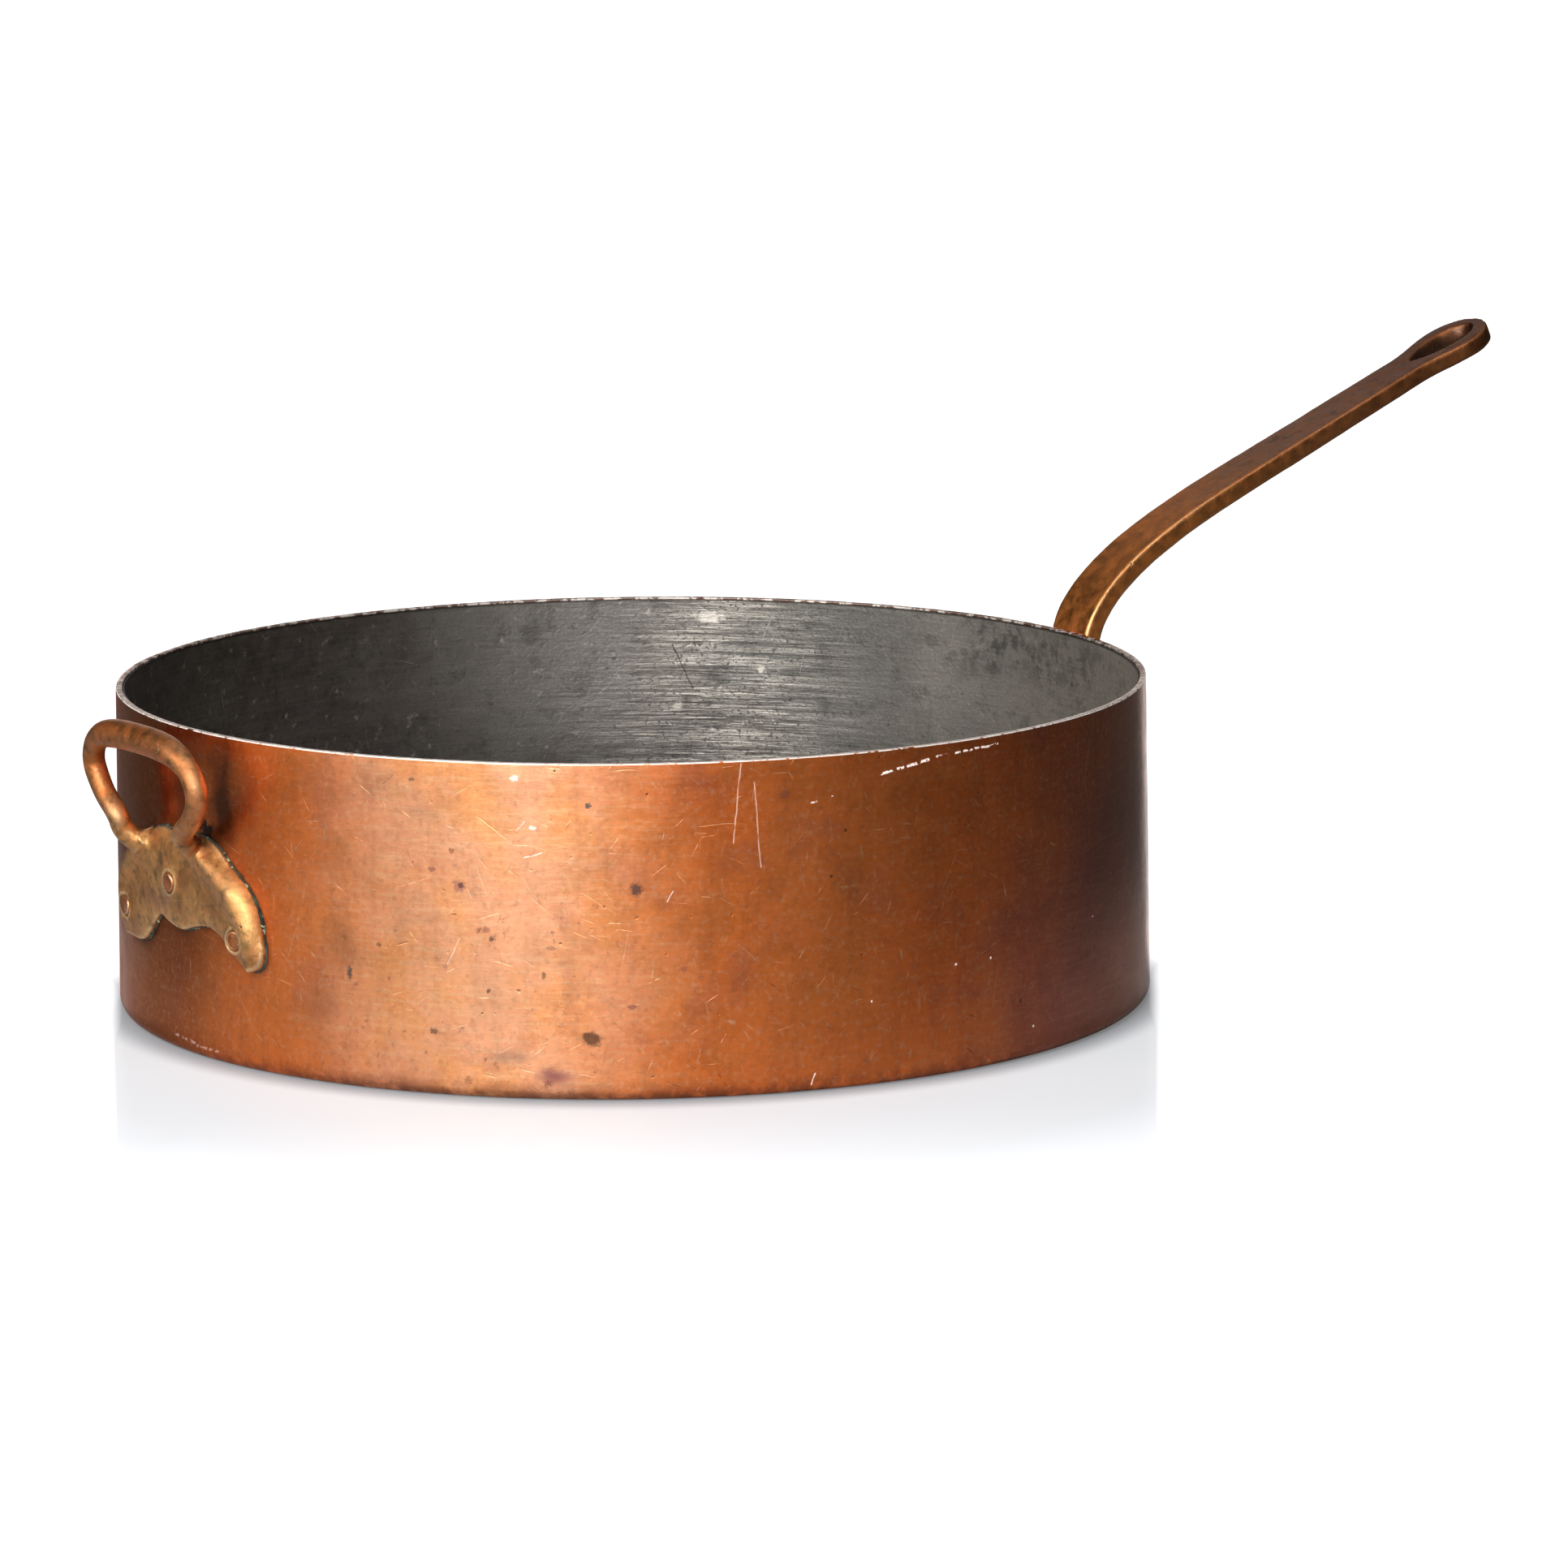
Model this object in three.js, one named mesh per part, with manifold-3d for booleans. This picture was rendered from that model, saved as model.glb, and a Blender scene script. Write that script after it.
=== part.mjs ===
import * as THREE from 'three';
import { mergeVertices } from 'three/addons/utils/BufferGeometryUtils.js';
import Module from 'manifold-3d';

// A tinned copper casserole with a long riveted handle and a helper handle across from it.
// Millimetres and degrees. The origin is the middle of the underside, +Z is up and
// +X runs out along the long handle.

const wasm = await Module();
wasm.setup();

// Pan
const rimDiameter = 420;
const panHeight = 131;
const wallThickness = 2.6;
const baseThickness = 3;
const footFlare = 1.5;
const footRadius = 4;
const leastInsideRadius = 1.5;

// Tin lining
const tinThickness = 0.5;
const tinClearance = 0.3;
const tinTopDrop = 0.8;

// Fits between the castings, the rivets and the pan
const seatClearance = 0.3;

// Rivets
const shankDiameter = 6.6;
const headDiameter = 15;
const headHeight = 3.2;
const rivetProud = 0.4;
const rivetChamfer = 0.5;
const wingRivetSpread = 43.5;
const wingRivetDrop = 16.8;

// Riveting plates
const webThickness = 4.4;
const webEdge = 1.9;
const bossDiameter = 11.5;
const bossHeight = 6;
const ridgeWidth = 14;
const ridgeHeight = 7.6;
const lobeDrawnIn = 4.5;

// Long handle
const longRivetDrop = 59;
const handleLeaveDrop = 8.5;
const handleSlope = 24;
const bendReach = 90.9;
const bendRise = 73.2;
const bendRootPull = 32.5;
const bendGripPull = 42.4;
const straightLength = 132.5;
const rootWidth = 27.6;
const gripWidth = 23.2;
const widthTaper = 130;
const handleThickness = 8;
const tipThickness = 7.2;
const handleCorner = 2;
const shoulderSpread = 6;
const eyeWidth = 32.4;
const eyeFlare = 38;
const holeWidth = 17.8;
const holeBelly = 23;
const holeRound = 11.5;
const holeEndWall = 5.6;

// Helper handle
const helperAngle = 182.8;
const helperRivetDrop = 62;
const loopWidth = 84.6;
const loopSideShift = -1.2;
const loopRise = 59.2;
const loopStandOff = 8;
const loopLean = 8.8;
const loopTopBar = 11.2;
const loopSideBar = 9;
const loopRootBar = 8.2;
const loopRootSpread = 21;
const loopRootHeight = 15.5;

// Fineness of the facets
const roundSegments = 72;
const boreSegments = 16;
const cornerSteps = 2;
const domeSteps = 5;
const barSides = 12;
const stepsPerStation = 3;
const webSteps = 44;
const webRows = 5;
const gripSteps = 44;
const tipSteps = 8;
const holeSteps = 10;

const rimRadius = rimDiameter / 2;
const boreRadius = shankDiameter / 2 + seatClearance;
const slope = THREE.MathUtils.degToRad(handleSlope);
const lean = THREE.MathUtils.degToRad(loopLean);

const finishes = {
  copper: { color: 0xb5683c, roughness: 0.34, metalness: 1 },
  tin: { color: 0x6f6a64, roughness: 0.5, metalness: 1 },
  bronze: { color: 0x9a6a34, roughness: 0.42, metalness: 1 },
  rivetCopper: { color: 0x9c4f2c, roughness: 0.45, metalness: 1 },
};

// Outside radius of the wall at a height, widest at the foot
function wallRadiusAt(z) {
  return rimRadius + footFlare * (1 - z / panHeight);
}

// Angle round the pan that a length along the wall takes up
function angleOf(arc) {
  return arc / rimRadius;
}

// Signed volume of a closed indexed geometry
function volumeOf(geometry) {
  const place = geometry.attributes.position;
  const corners = geometry.index.array;
  const [a, b, c] = [new THREE.Vector3(), new THREE.Vector3(), new THREE.Vector3()];
  let sum = 0;
  for (let i = 0; i < corners.length; i += 3) {
    a.fromBufferAttribute(place, corners[i]);
    b.fromBufferAttribute(place, corners[i + 1]);
    c.fromBufferAttribute(place, corners[i + 2]);
    sum += a.dot(b.cross(c)) / 6;
  }
  return sum;
}

// One closed indexed geometry with its doubled points joined and its faces outwards
function welded(geometry) {
  const bare = geometry.clone();
  bare.deleteAttribute('normal');
  bare.deleteAttribute('uv');
  const joined = mergeVertices(bare, 1e-4);
  const corners = joined.index.array;
  const faces = [];
  for (let i = 0; i < corners.length; i += 3) {
    const [a, b, c] = corners.slice(i, i + 3);
    if (a !== b && b !== c && c !== a) faces.push(a, b, c);
  }
  joined.setIndex(faces);
  if (volumeOf(joined) < 0) {
    for (let i = 0; i < faces.length; i += 3) {
      [faces[i + 1], faces[i + 2]] = [faces[i + 2], faces[i + 1]];
    }
    joined.setIndex(faces);
  }
  return joined;
}

function solidOf(geometry) {
  const shape = welded(geometry);
  return new wasm.Manifold(new wasm.Mesh({
    numProp: 3,
    vertProperties: new Float32Array(shape.attributes.position.array),
    triVerts: new Uint32Array(shape.index.array),
  }));
}

function geometryOf(solid) {
  const mesh = solid.getMesh();
  const geometry = new THREE.BufferGeometry();
  geometry.setAttribute('position', new THREE.BufferAttribute(mesh.vertProperties, 3));
  geometry.setIndex(new THREE.BufferAttribute(mesh.triVerts, 1));
  return geometry;
}

// A closed skin over rings of points, with a fan over each end
function loft(rings) {
  const around = rings[0].length;
  const points = rings.flat();
  const faces = [];
  for (let i = 0; i + 1 < rings.length; i += 1) {
    for (let j = 0; j < around; j += 1) {
      const a = i * around + j;
      const b = i * around + (j + 1) % around;
      faces.push(a, b, b + around, a, b + around, a + around);
    }
  }
  const ends = [0, (rings.length - 1) * around];
  ends.forEach((first, end) => {
    const middle = new THREE.Vector3();
    points.slice(first, first + around).forEach((point) => middle.add(point));
    points.push(middle.divideScalar(around));
    for (let j = 0; j < around; j += 1) {
      const edge = [first + j, first + (j + 1) % around];
      if (end === 0) edge.reverse();
      faces.push(edge[0], edge[1], points.length - 1);
    }
  });
  const geometry = new THREE.BufferGeometry().setFromPoints(points);
  geometry.setIndex(faces);
  return geometry;
}

// A profile of radius and height turned about the upright axis
function turned(profile) {
  const points = profile.map(([radius, height]) => new THREE.Vector2(radius, height));
  return new THREE.LatheGeometry(points, roundSegments).rotateX(Math.PI / 2);
}

// Points along an arc round a corner's centre, from one direction to another
function corner(centreRadius, centreHeight, radius, fromDegrees, toDegrees) {
  const points = [];
  for (let i = 0; i <= cornerSteps; i += 1) {
    const turn = THREE.MathUtils.lerp(fromDegrees, toDegrees, i / cornerSteps) * THREE.MathUtils.DEG2RAD;
    points.push([centreRadius + radius * Math.cos(turn), centreHeight + radius * Math.sin(turn)]);
  }
  return points;
}

// Outside of the pan, grown by a gap, from the middle of the base up to a height
function outerProfile(gap, top) {
  return [
    [0, -gap],
    ...corner(wallRadiusAt(footRadius) - footRadius, footRadius, footRadius + gap, -90, 0),
    [wallRadiusAt(top) + gap, top],
  ];
}

// Inside of a layer: offset in from the wall's outside and up from the underside
function innerProfile(wallOffset, baseOffset, top) {
  const radius = Math.max(footRadius - wallOffset, leastInsideRadius);
  const level = baseOffset + radius;
  return [
    [wallRadiusAt(top) - wallOffset, top],
    ...corner(wallRadiusAt(level) - wallOffset - radius, level, radius, 0, -90),
    [0, baseOffset],
  ];
}

// A round pin lying along a radius of the pan, turned to an angle round it
function radialPin(radius, from, to, height, angle) {
  const pin = new THREE.CylinderGeometry(radius, radius, to - from, boreSegments);
  pin.rotateZ(-Math.PI / 2).translate((from + to) / 2, 0, height).rotateZ(angle);
  return pin;
}

// Bore for one rivet, from well inside the wall to well outside the plate
function boreAt(angle, height) {
  return solidOf(radialPin(boreRadius, rimRadius / 2, rimRadius * 1.5, height, angle));
}

// A plate's three rivets, its middle one first and then one on each wing
function rivetPlaces(middleHeight) {
  return [
    { angle: 0, height: middleHeight },
    { angle: angleOf(wingRivetSpread), height: middleHeight - wingRivetDrop },
    { angle: -angleOf(wingRivetSpread), height: middleHeight - wingRivetDrop },
  ];
}

const longPlate = {
  name: 'long_handle',
  turn: 0,
  height: panHeight - longRivetDrop,
  places: rivetPlaces(panHeight - longRivetDrop),
};
const helperPlate = {
  name: 'helper',
  turn: THREE.MathUtils.degToRad(helperAngle),
  height: panHeight - helperRivetDrop,
  places: rivetPlaces(panHeight - helperRivetDrop),
};

// Cuts the bores of every rivet out of a layer of the pan
function boredForRivets(solid) {
  return [longPlate, helperPlate].reduce((layer, plate) => (
    plate.places.reduce((rest, { angle, height }) => (
      rest.subtract(boreAt(angle + plate.turn, height))
    ), layer)
  ), solid);
}

function panBody() {
  const shell = turned([
    ...outerProfile(0, panHeight),
    ...innerProfile(wallThickness, baseThickness, panHeight),
  ]);
  return geometryOf(boredForRivets(solidOf(shell)));
}

function tinLining() {
  const offset = wallThickness + tinClearance;
  const level = baseThickness + tinClearance;
  const top = panHeight - tinTopDrop;
  const shell = turned([
    ...innerProfile(offset, level, top).reverse(),
    ...innerProfile(offset + tinThickness, level + tinThickness, top),
  ]);
  return geometryOf(boredForRivets(solidOf(shell)));
}

// What a casting may not enter: the pan with the seat's clearance round it
const seatCutter = solidOf(turned([...outerProfile(seatClearance, panHeight), [0, panHeight]]));

// A point on or above the wall, from a length along it, a height and a rise off it
function onWall(arc, z, rise) {
  const angle = angleOf(arc);
  const radius = wallRadiusAt(z) + rise;
  return new THREE.Vector3(radius * Math.cos(angle), radius * Math.sin(angle), z);
}

// Evenly spaced points on a smooth curve through points of length along the wall and height
function outline(points) {
  const flat = points.map(([arc, z]) => new THREE.Vector3(arc, z, 0));
  return new THREE.CatmullRomCurve3(flat, false, 'centripetal').getSpacedPoints(webSteps);
}

// Bat-wing web between its upper and lower edges, drawn with the middle rivet at [0, 0].
// As cast, the lobe on the -Y wing is broader and nearer the middle than the other,
// and the shoulder above it is lower.
function webSolid(middleHeight) {
  const wing = wingRivetSpread;
  const drop = -wingRivetDrop;
  const leftTip = [-wing - 3, drop - 12];
  const rightTip = [wing + 6, drop - 12.4];
  const upper = outline([
    leftTip, [-wing - 8.5, drop - 9], [-wing - 10.5, drop - 3], [-wing - 7, drop + 9.4],
    [-wing + 3, 3.6], [-26, 14.5], [-14, 20], [0, 20], [14, 21], [29, 17.8], [wing - 1, 5.6],
    [wing + 9, drop + 10.4], [wing + 13.3, drop - 4.5], [wing + 11.4, drop - 10], rightTip,
  ]);
  const lower = outline([
    leftTip, [-wing + 6, drop - 12.8], [-31, drop - 11.5], [-25, drop - 8], [-19, drop - 2.4],
    [-13, drop + 1.4], [-6, drop - 0.4], [5, drop - 1.8], [15, drop + 0.9], [24, drop + 2],
    [31, drop - 0.2], [wing - 6.5, drop - 4.4], [wing - 1, drop - 8.6], rightTip,
  ]);
  const rings = upper.slice(1, -1).map((top, i) => {
    const bottom = lower[i + 1];
    const front = [];
    const back = [];
    for (let j = 0; j <= webRows; j += 1) {
      const share = j / webRows;
      const arc = THREE.MathUtils.lerp(top.x, bottom.x, share);
      const z = THREE.MathUtils.lerp(top.y, bottom.y, share) + middleHeight;
      const crown = Math.sqrt(Math.max(Math.sin(Math.PI * share), 0));
      front.push(onWall(arc, z, THREE.MathUtils.lerp(webEdge, webThickness, crown)));
      back.unshift(onWall(arc, z, -wallThickness));
    }
    return [...front, ...back];
  });
  return solidOf(loft(rings));
}

// An oval bar through stations that each have a middle point, a width and a depth
function barThrough(stations) {
  const line = new THREE.CatmullRomCurve3(stations.map(({ point }) => point), false, 'centripetal');
  const sizes = stations.map(({ width, depth }) => new THREE.Vector3(width, depth, 0));
  const sizeLine = new THREE.CatmullRomCurve3(sizes);
  const outward = new THREE.Vector3(1, 0, 0);
  const steps = (stations.length - 1) * stepsPerStation;
  const rings = [];
  for (let i = 0; i <= steps; i += 1) {
    const middle = line.getPoint(i / steps);
    const along = line.getTangent(i / steps);
    const size = sizeLine.getPoint(i / steps);
    const deep = outward.clone().addScaledVector(along, -outward.dot(along)).normalize();
    const wide = new THREE.Vector3().crossVectors(along, deep);
    rings.push(Array.from({ length: barSides }, (unused, j) => {
      const turn = 2 * Math.PI * j / barSides;
      return middle.clone()
        .addScaledVector(wide, size.x / 2 * Math.cos(turn))
        .addScaledVector(deep, size.y / 2 * Math.sin(turn));
    }));
  }
  return solidOf(loft(rings));
}

// Stations of the ridge up the +Y wing, from its tip past the wing's rivet to the root of
// the bar, centred on the wall so that only the outer half shows. A drawn-in tip ends
// nearer the middle, as on the broader lobe.
function ridgeStations(middleHeight, drawnIn) {
  const wing = wingRivetSpread;
  const drop = -wingRivetDrop;
  const deep = 2 * ridgeHeight;
  return [
    { arc: wing + 5.6 - drawnIn, z: drop - 10.6, width: ridgeWidth - 6, depth: deep - 9 },
    { arc: wing + 6 - drawnIn / 2, z: drop - 6, width: ridgeWidth - 3, depth: deep - 3.6 },
    { arc: wing + 5.5 - drawnIn / 4, z: drop + 4, width: ridgeWidth - 1, depth: deep - 1 },
    { arc: wing + 0.5, z: -3, width: ridgeWidth, depth: deep },
    { arc: 36, z: 4.4, width: ridgeWidth - 1, depth: deep },
    { arc: 28, z: 10, width: ridgeWidth - 3, depth: deep },
    { arc: loopRootSpread, z: loopRootHeight - 1, width: ridgeWidth - 5, depth: deep },
  ].map(({ arc, z, width, depth }) => ({ point: onWall(arc, middleHeight + z, 0), width, depth }));
}

// The same station on the other side of the handle's middle plane
function mirrored({ point, width, depth }) {
  return { point: new THREE.Vector3(point.x, -point.y, point.z), width, depth };
}

// Both ridges of a plate, each with the extra stations that carry it on to the bar
function ridgesOf(middleHeight, more) {
  const right = [...ridgeStations(middleHeight, 0), ...more];
  const left = [...ridgeStations(middleHeight, lobeDrawnIn), ...more];
  return [barThrough(right), barThrough(left.map(mirrored))];
}

// Bosses that the rivets come up through
function bosses(places) {
  return places.map(({ angle, height }) => {
    const surface = wallRadiusAt(height);
    const pin = radialPin(bossDiameter / 2, surface - wallThickness, surface + bossHeight, height, angle);
    return solidOf(pin);
  });
}

// Joins the parts of a casting, seats it on the wall and bores it for its rivets
function casting(pieces, places) {
  const joined = pieces.reduce((whole, piece) => whole.add(piece));
  const seated = joined.subtract(seatCutter);
  return geometryOf(places.reduce((rest, { angle, height }) => (
    rest.subtract(boreAt(angle, height))
  ), seated));
}

// Rounded section of the long handle, flat side on the path, given as [across, down] pairs
function barSection(width, thickness) {
  const radius = Math.min(handleCorner, width * 0.49, thickness * 0.49);
  const side = width / 2 - radius;
  return [
    ...corner(side, radius, radius, -90, 0),
    ...corner(side, thickness - radius, radius, 0, 90),
    ...corner(-side, thickness - radius, radius, 90, 180),
    ...corner(-side, radius, radius, 180, 270),
  ];
}

// Inner face of the long handle: up the wall, round the bend and out along the grip
function handlePath() {
  const leaveZ = panHeight - handleLeaveDrop;
  const leave = new THREE.Vector3(wallRadiusAt(leaveZ) + seatClearance, 0, leaveZ);
  const footZ = longPlate.height - bossDiameter / 2;
  const foot = new THREE.Vector3(wallRadiusAt(footZ) + seatClearance, 0, footZ);
  const out = new THREE.Vector3(Math.cos(slope), 0, Math.sin(slope));
  const bendEnd = leave.clone().add(new THREE.Vector3(bendReach, 0, bendRise));
  const path = new THREE.CurvePath();
  path.add(new THREE.LineCurve3(foot, leave));
  path.add(new THREE.CubicBezierCurve3(
    leave,
    leave.clone().add(new THREE.Vector3(0, 0, bendRootPull)),
    bendEnd.clone().addScaledVector(out, -bendGripPull),
    bendEnd,
  ));
  path.add(new THREE.LineCurve3(bendEnd, bendEnd.clone().addScaledVector(out, straightLength)));
  return { path, bendEnd, out };
}

// Width of the long handle at a distance back from its tip: a round end that flares out of
// the grip, and a taper round the bend from the grip to the root
function handleWidthAt(fromTip) {
  const eyeRadius = eyeWidth / 2;
  if (fromTip < eyeRadius) {
    const across = eyeRadius - fromTip;
    return 2 * Math.sqrt(Math.max(eyeRadius ** 2 - across ** 2, 0.04));
  }
  const { smoothstep, lerp } = THREE.MathUtils;
  const taper = smoothstep(fromTip, straightLength - widthTaper, straightLength + widthTaper);
  const flare = smoothstep(fromTip, eyeRadius, eyeFlare);
  return lerp(eyeWidth, lerp(gripWidth, rootWidth, taper), flare);
}

function handleBar() {
  const { path } = handlePath();
  const length = path.getLength();
  const roundStart = 1 - eyeWidth / 2 / length;
  const shares = [];
  for (let i = 0; i < gripSteps; i += 1) shares.push(roundStart * i / gripSteps);
  for (let i = 0; i <= tipSteps; i += 1) {
    shares.push(THREE.MathUtils.lerp(roundStart, 1, Math.sin(Math.PI / 2 * i / tipSteps)));
  }
  const across = new THREE.Vector3(0, 1, 0);
  const rings = shares.map((share) => {
    const place = path.getPointAt(share);
    const along = path.getTangentAt(share);
    const down = new THREE.Vector3(along.z, 0, -along.x);
    const fromTip = length * (1 - share);
    const thickening = THREE.MathUtils.smoothstep(fromTip, 0, straightLength);
    const thickness = THREE.MathUtils.lerp(tipThickness, handleThickness, thickening);
    return barSection(handleWidthAt(fromTip), thickness).map(([side, depth]) => (
      place.clone().addScaledVector(across, side).addScaledVector(down, depth)
    ));
  });
  return solidOf(loft(rings));
}

// Teardrop hanging hole through the handle's end, pointed towards the pan
function eyeHole() {
  const { bendEnd, out } = handlePath();
  const half = holeWidth / 2;
  const drop = new THREE.Shape();
  drop.moveTo(0, 0);
  drop.bezierCurveTo(holeBelly / 4, half * 0.75, holeBelly * 0.6, half, holeBelly, half);
  drop.absellipse(holeBelly, 0, holeRound, half, Math.PI / 2, -Math.PI / 2, true, 0);
  drop.bezierCurveTo(holeBelly * 0.6, -half, holeBelly / 4, -half * 0.75, 0, 0);
  const reach = 3 * handleThickness;
  const cutter = new THREE.ExtrudeGeometry(drop, {
    depth: reach,
    bevelEnabled: false,
    curveSegments: holeSteps,
  });
  const up = new THREE.Vector3(-out.z, 0, out.x);
  const side = new THREE.Vector3().crossVectors(up, out);
  const fromBend = straightLength - holeEndWall - holeRound - holeBelly;
  const start = bendEnd.clone().addScaledVector(out, fromBend).addScaledVector(up, -reach / 2);
  cutter.applyMatrix4(new THREE.Matrix4().makeBasis(out, side, up).setPosition(start));
  return solidOf(cutter);
}

function longHandle() {
  const shoulder = {
    point: onWall(shoulderSpread, longPlate.height + loopRootHeight + ridgeWidth / 2, 0),
    width: ridgeWidth - 5,
    depth: 2 * ridgeHeight,
  };
  const ridges = ridgesOf(longPlate.height, [shoulder]);
  const bar = handleBar().subtract(eyeHole());
  const pieces = [bar, webSolid(longPlate.height), ...ridges, ...bosses(longPlate.places)];
  return casting(pieces, longPlate.places);
}

// Stations of half the loop, from its foot on the plate up to the middle of its top
function loopStations() {
  const root = helperPlate.height + loopRootHeight;
  const foot = {
    point: onWall(loopRootSpread - 3.2, root - 0.5, loopRootBar / 2 - 2.4),
    width: loopRootBar - 1,
    depth: loopRootBar - 1,
  };
  const neck = {
    point: onWall(loopRootSpread + 0.4, root + 3.6, loopRootBar / 2 + 4.2),
    width: loopRootBar,
    depth: loopRootBar,
  };
  const half = loopWidth / 2;
  const shoulder = (loopTopBar + loopSideBar) / 2;
  const bend = [
    [0.58, 0.393, loopRootBar], [0.81, 0.52, loopRootBar], [0.97, 0.647, loopSideBar],
    [1, 0.756, loopSideBar], [0.92, 0.864, loopSideBar], [0.74, 0.946, shoulder],
    [0.48, 0.986, loopTopBar], [0, 1, loopTopBar],
  ].map(([side, share, size]) => {
    const out = rimRadius + loopStandOff + share * loopRise * Math.sin(lean);
    const up = helperPlate.height + share * loopRise * Math.cos(lean);
    return { point: new THREE.Vector3(out, side * half, up), width: size, depth: size };
  });
  return [foot, neck, ...bend];
}

function helperHandle() {
  const ridges = ridgesOf(helperPlate.height, []);
  const side = loopStations();
  const farSide = side.slice(0, -1).map(mirrored).reverse();
  const loop = barThrough([...side, ...farSide]).translate(0, loopSideShift, 0);
  const pieces = [loop, webSolid(helperPlate.height), ...ridges, ...bosses(helperPlate.places)];
  return casting(pieces, helperPlate.places);
}

// A rivet along +X: low domed head inside the pan, shank out through the wall and the plate
function rivet(height) {
  const headRadius = headDiameter / 2;
  const shankRadius = shankDiameter / 2;
  const liningOffset = wallThickness + tinClearance + tinThickness;
  const liningRadius = wallRadiusAt(height + headRadius) - liningOffset;
  const seat = Math.sqrt(liningRadius ** 2 - headRadius ** 2) - seatClearance;
  const end = wallRadiusAt(height) + bossHeight + rivetProud;
  const domeRadius = (headRadius ** 2 + headHeight ** 2) / (2 * headHeight);
  const profile = [];
  for (let i = 0; i <= domeSteps; i += 1) {
    const radius = headRadius * i / domeSteps;
    const sag = domeRadius - Math.sqrt(domeRadius ** 2 - radius ** 2);
    profile.push([radius, seat - headHeight + sag]);
  }
  profile.push([shankRadius, seat]);
  profile.push([shankRadius, end - rivetChamfer]);
  profile.push([shankRadius - rivetChamfer, end]);
  profile.push([0, end]);
  const points = profile.map(([radius, along]) => new THREE.Vector2(radius, along));
  return new THREE.LatheGeometry(points, boreSegments).rotateZ(-Math.PI / 2);
}

const casserole = new THREE.Group();

function place(name, geometry, finish) {
  const mesh = new THREE.Mesh(welded(geometry), new THREE.MeshStandardMaterial(finish));
  mesh.name = name;
  casserole.add(mesh);
  return mesh;
}

place('pan_body', panBody(), finishes.copper);
place('tin_lining', tinLining(), finishes.tin);
place('long_handle', longHandle(), finishes.bronze);
place('helper_handle', helperHandle(), finishes.bronze).rotation.z = helperPlate.turn;

[longPlate, helperPlate].forEach(({ name, turn, places }) => {
  places.forEach(({ angle, height }, index) => {
    const mesh = place(`${name}_rivet_${index + 1}`, rivet(height), finishes.rivetCopper);
    mesh.position.z = height;
    mesh.rotation.z = turn + angle;
  });
});

export default casserole;
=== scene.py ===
import math

import bmesh
import bpy
import numpy as np
from mathutils import Matrix, Vector
from mathutils.kdtree import KDTree


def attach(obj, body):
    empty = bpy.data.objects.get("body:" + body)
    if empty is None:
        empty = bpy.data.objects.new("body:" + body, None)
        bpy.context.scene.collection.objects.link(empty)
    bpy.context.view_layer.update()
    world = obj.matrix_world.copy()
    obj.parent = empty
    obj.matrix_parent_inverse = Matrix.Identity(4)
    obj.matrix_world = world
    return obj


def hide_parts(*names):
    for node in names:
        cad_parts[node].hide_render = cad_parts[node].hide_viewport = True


# A tinned copper casserole. Metres in Blender; the shapes are worked out in millimetres, as in the CAD.

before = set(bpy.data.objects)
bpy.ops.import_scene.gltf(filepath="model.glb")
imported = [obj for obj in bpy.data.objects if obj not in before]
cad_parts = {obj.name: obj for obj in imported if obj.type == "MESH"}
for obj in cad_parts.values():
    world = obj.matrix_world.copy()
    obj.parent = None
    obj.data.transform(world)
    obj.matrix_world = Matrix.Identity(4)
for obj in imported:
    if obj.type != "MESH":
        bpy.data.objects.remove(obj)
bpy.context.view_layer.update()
scene = bpy.context.scene
millimetre = 0.001
print("casserole: frame loaded")


# Camera, where the photograph was taken from

photoCamera = {
    "turn": 28.9,        # degrees that the long handle points behind the picture's right
    "back": 2.9459,      # metres from the pan's axis
    "height": 0.6148,
    "pitch": 10.199,     # degrees down
    "yaw": 1.203,
    "roll": -0.539,
    "lens": 167.7,
    "sensor": 36,
    "farthest": 50,
}


def placeCamera(values):
    data = bpy.data.cameras.new("photoCamera")
    data.lens, data.sensor_width, data.clip_end = values["lens"], values["sensor"], values["farthest"]
    camera = bpy.data.objects.new("photoCamera", data)
    scene.collection.objects.link(camera)
    pitch, yaw, roll = (math.radians(values[key]) for key in ("pitch", "yaw", "roll"))
    forward = Vector((math.sin(yaw) * math.cos(pitch), math.cos(yaw) * math.cos(pitch), -math.sin(pitch)))
    level = Vector((math.cos(yaw), -math.sin(yaw), 0))
    up = level.cross(forward)
    right = level * math.cos(roll) + up * math.sin(roll)
    top = up * math.cos(roll) - level * math.sin(roll)
    place = Matrix((right, top, -forward)).transposed().to_4x4()
    place.translation = Vector((0, -values["back"], values["height"]))
    camera.matrix_world = Matrix.Rotation(-math.radians(values["turn"]), 4, "Z") @ place
    scene.camera = camera


placeCamera(photoCamera)
scene.view_settings.view_transform = "Standard"


# A place round the pan, in degrees to the right of the camera as seen in the picture
def roundThePan(degrees, distance, height=0.0):
    angle = math.radians(degrees - 90 - photoCamera["turn"])
    return Vector((distance * math.cos(angle), distance * math.sin(angle), height))


# Pan: the copper shell and its tin

pan = {
    "rimRadius": 210.0, "height": 131.0, "wall": 2.6, "base": 3.0,
    "footFlare": 1.5, "footRadius": 4.0, "leastRadius": 1.5,
    "tin": 0.5, "tinGap": 0.3, "tinDrop": 0.8,
    "segments": 720, "wallRows": 34, "floorRows": 8, "cornerRows": 6, "rimRound": 0.5, "rimRow": 0.25,
}


def wallRadius(z):
    return pan["rimRadius"] + pan["footFlare"] * (1 - z / pan["height"])


# A place on the outside of the wall
def onShell(degrees, level):
    return roundThePan(degrees, wallRadius(level / millimetre) * millimetre, level)


# Node helpers

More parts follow.
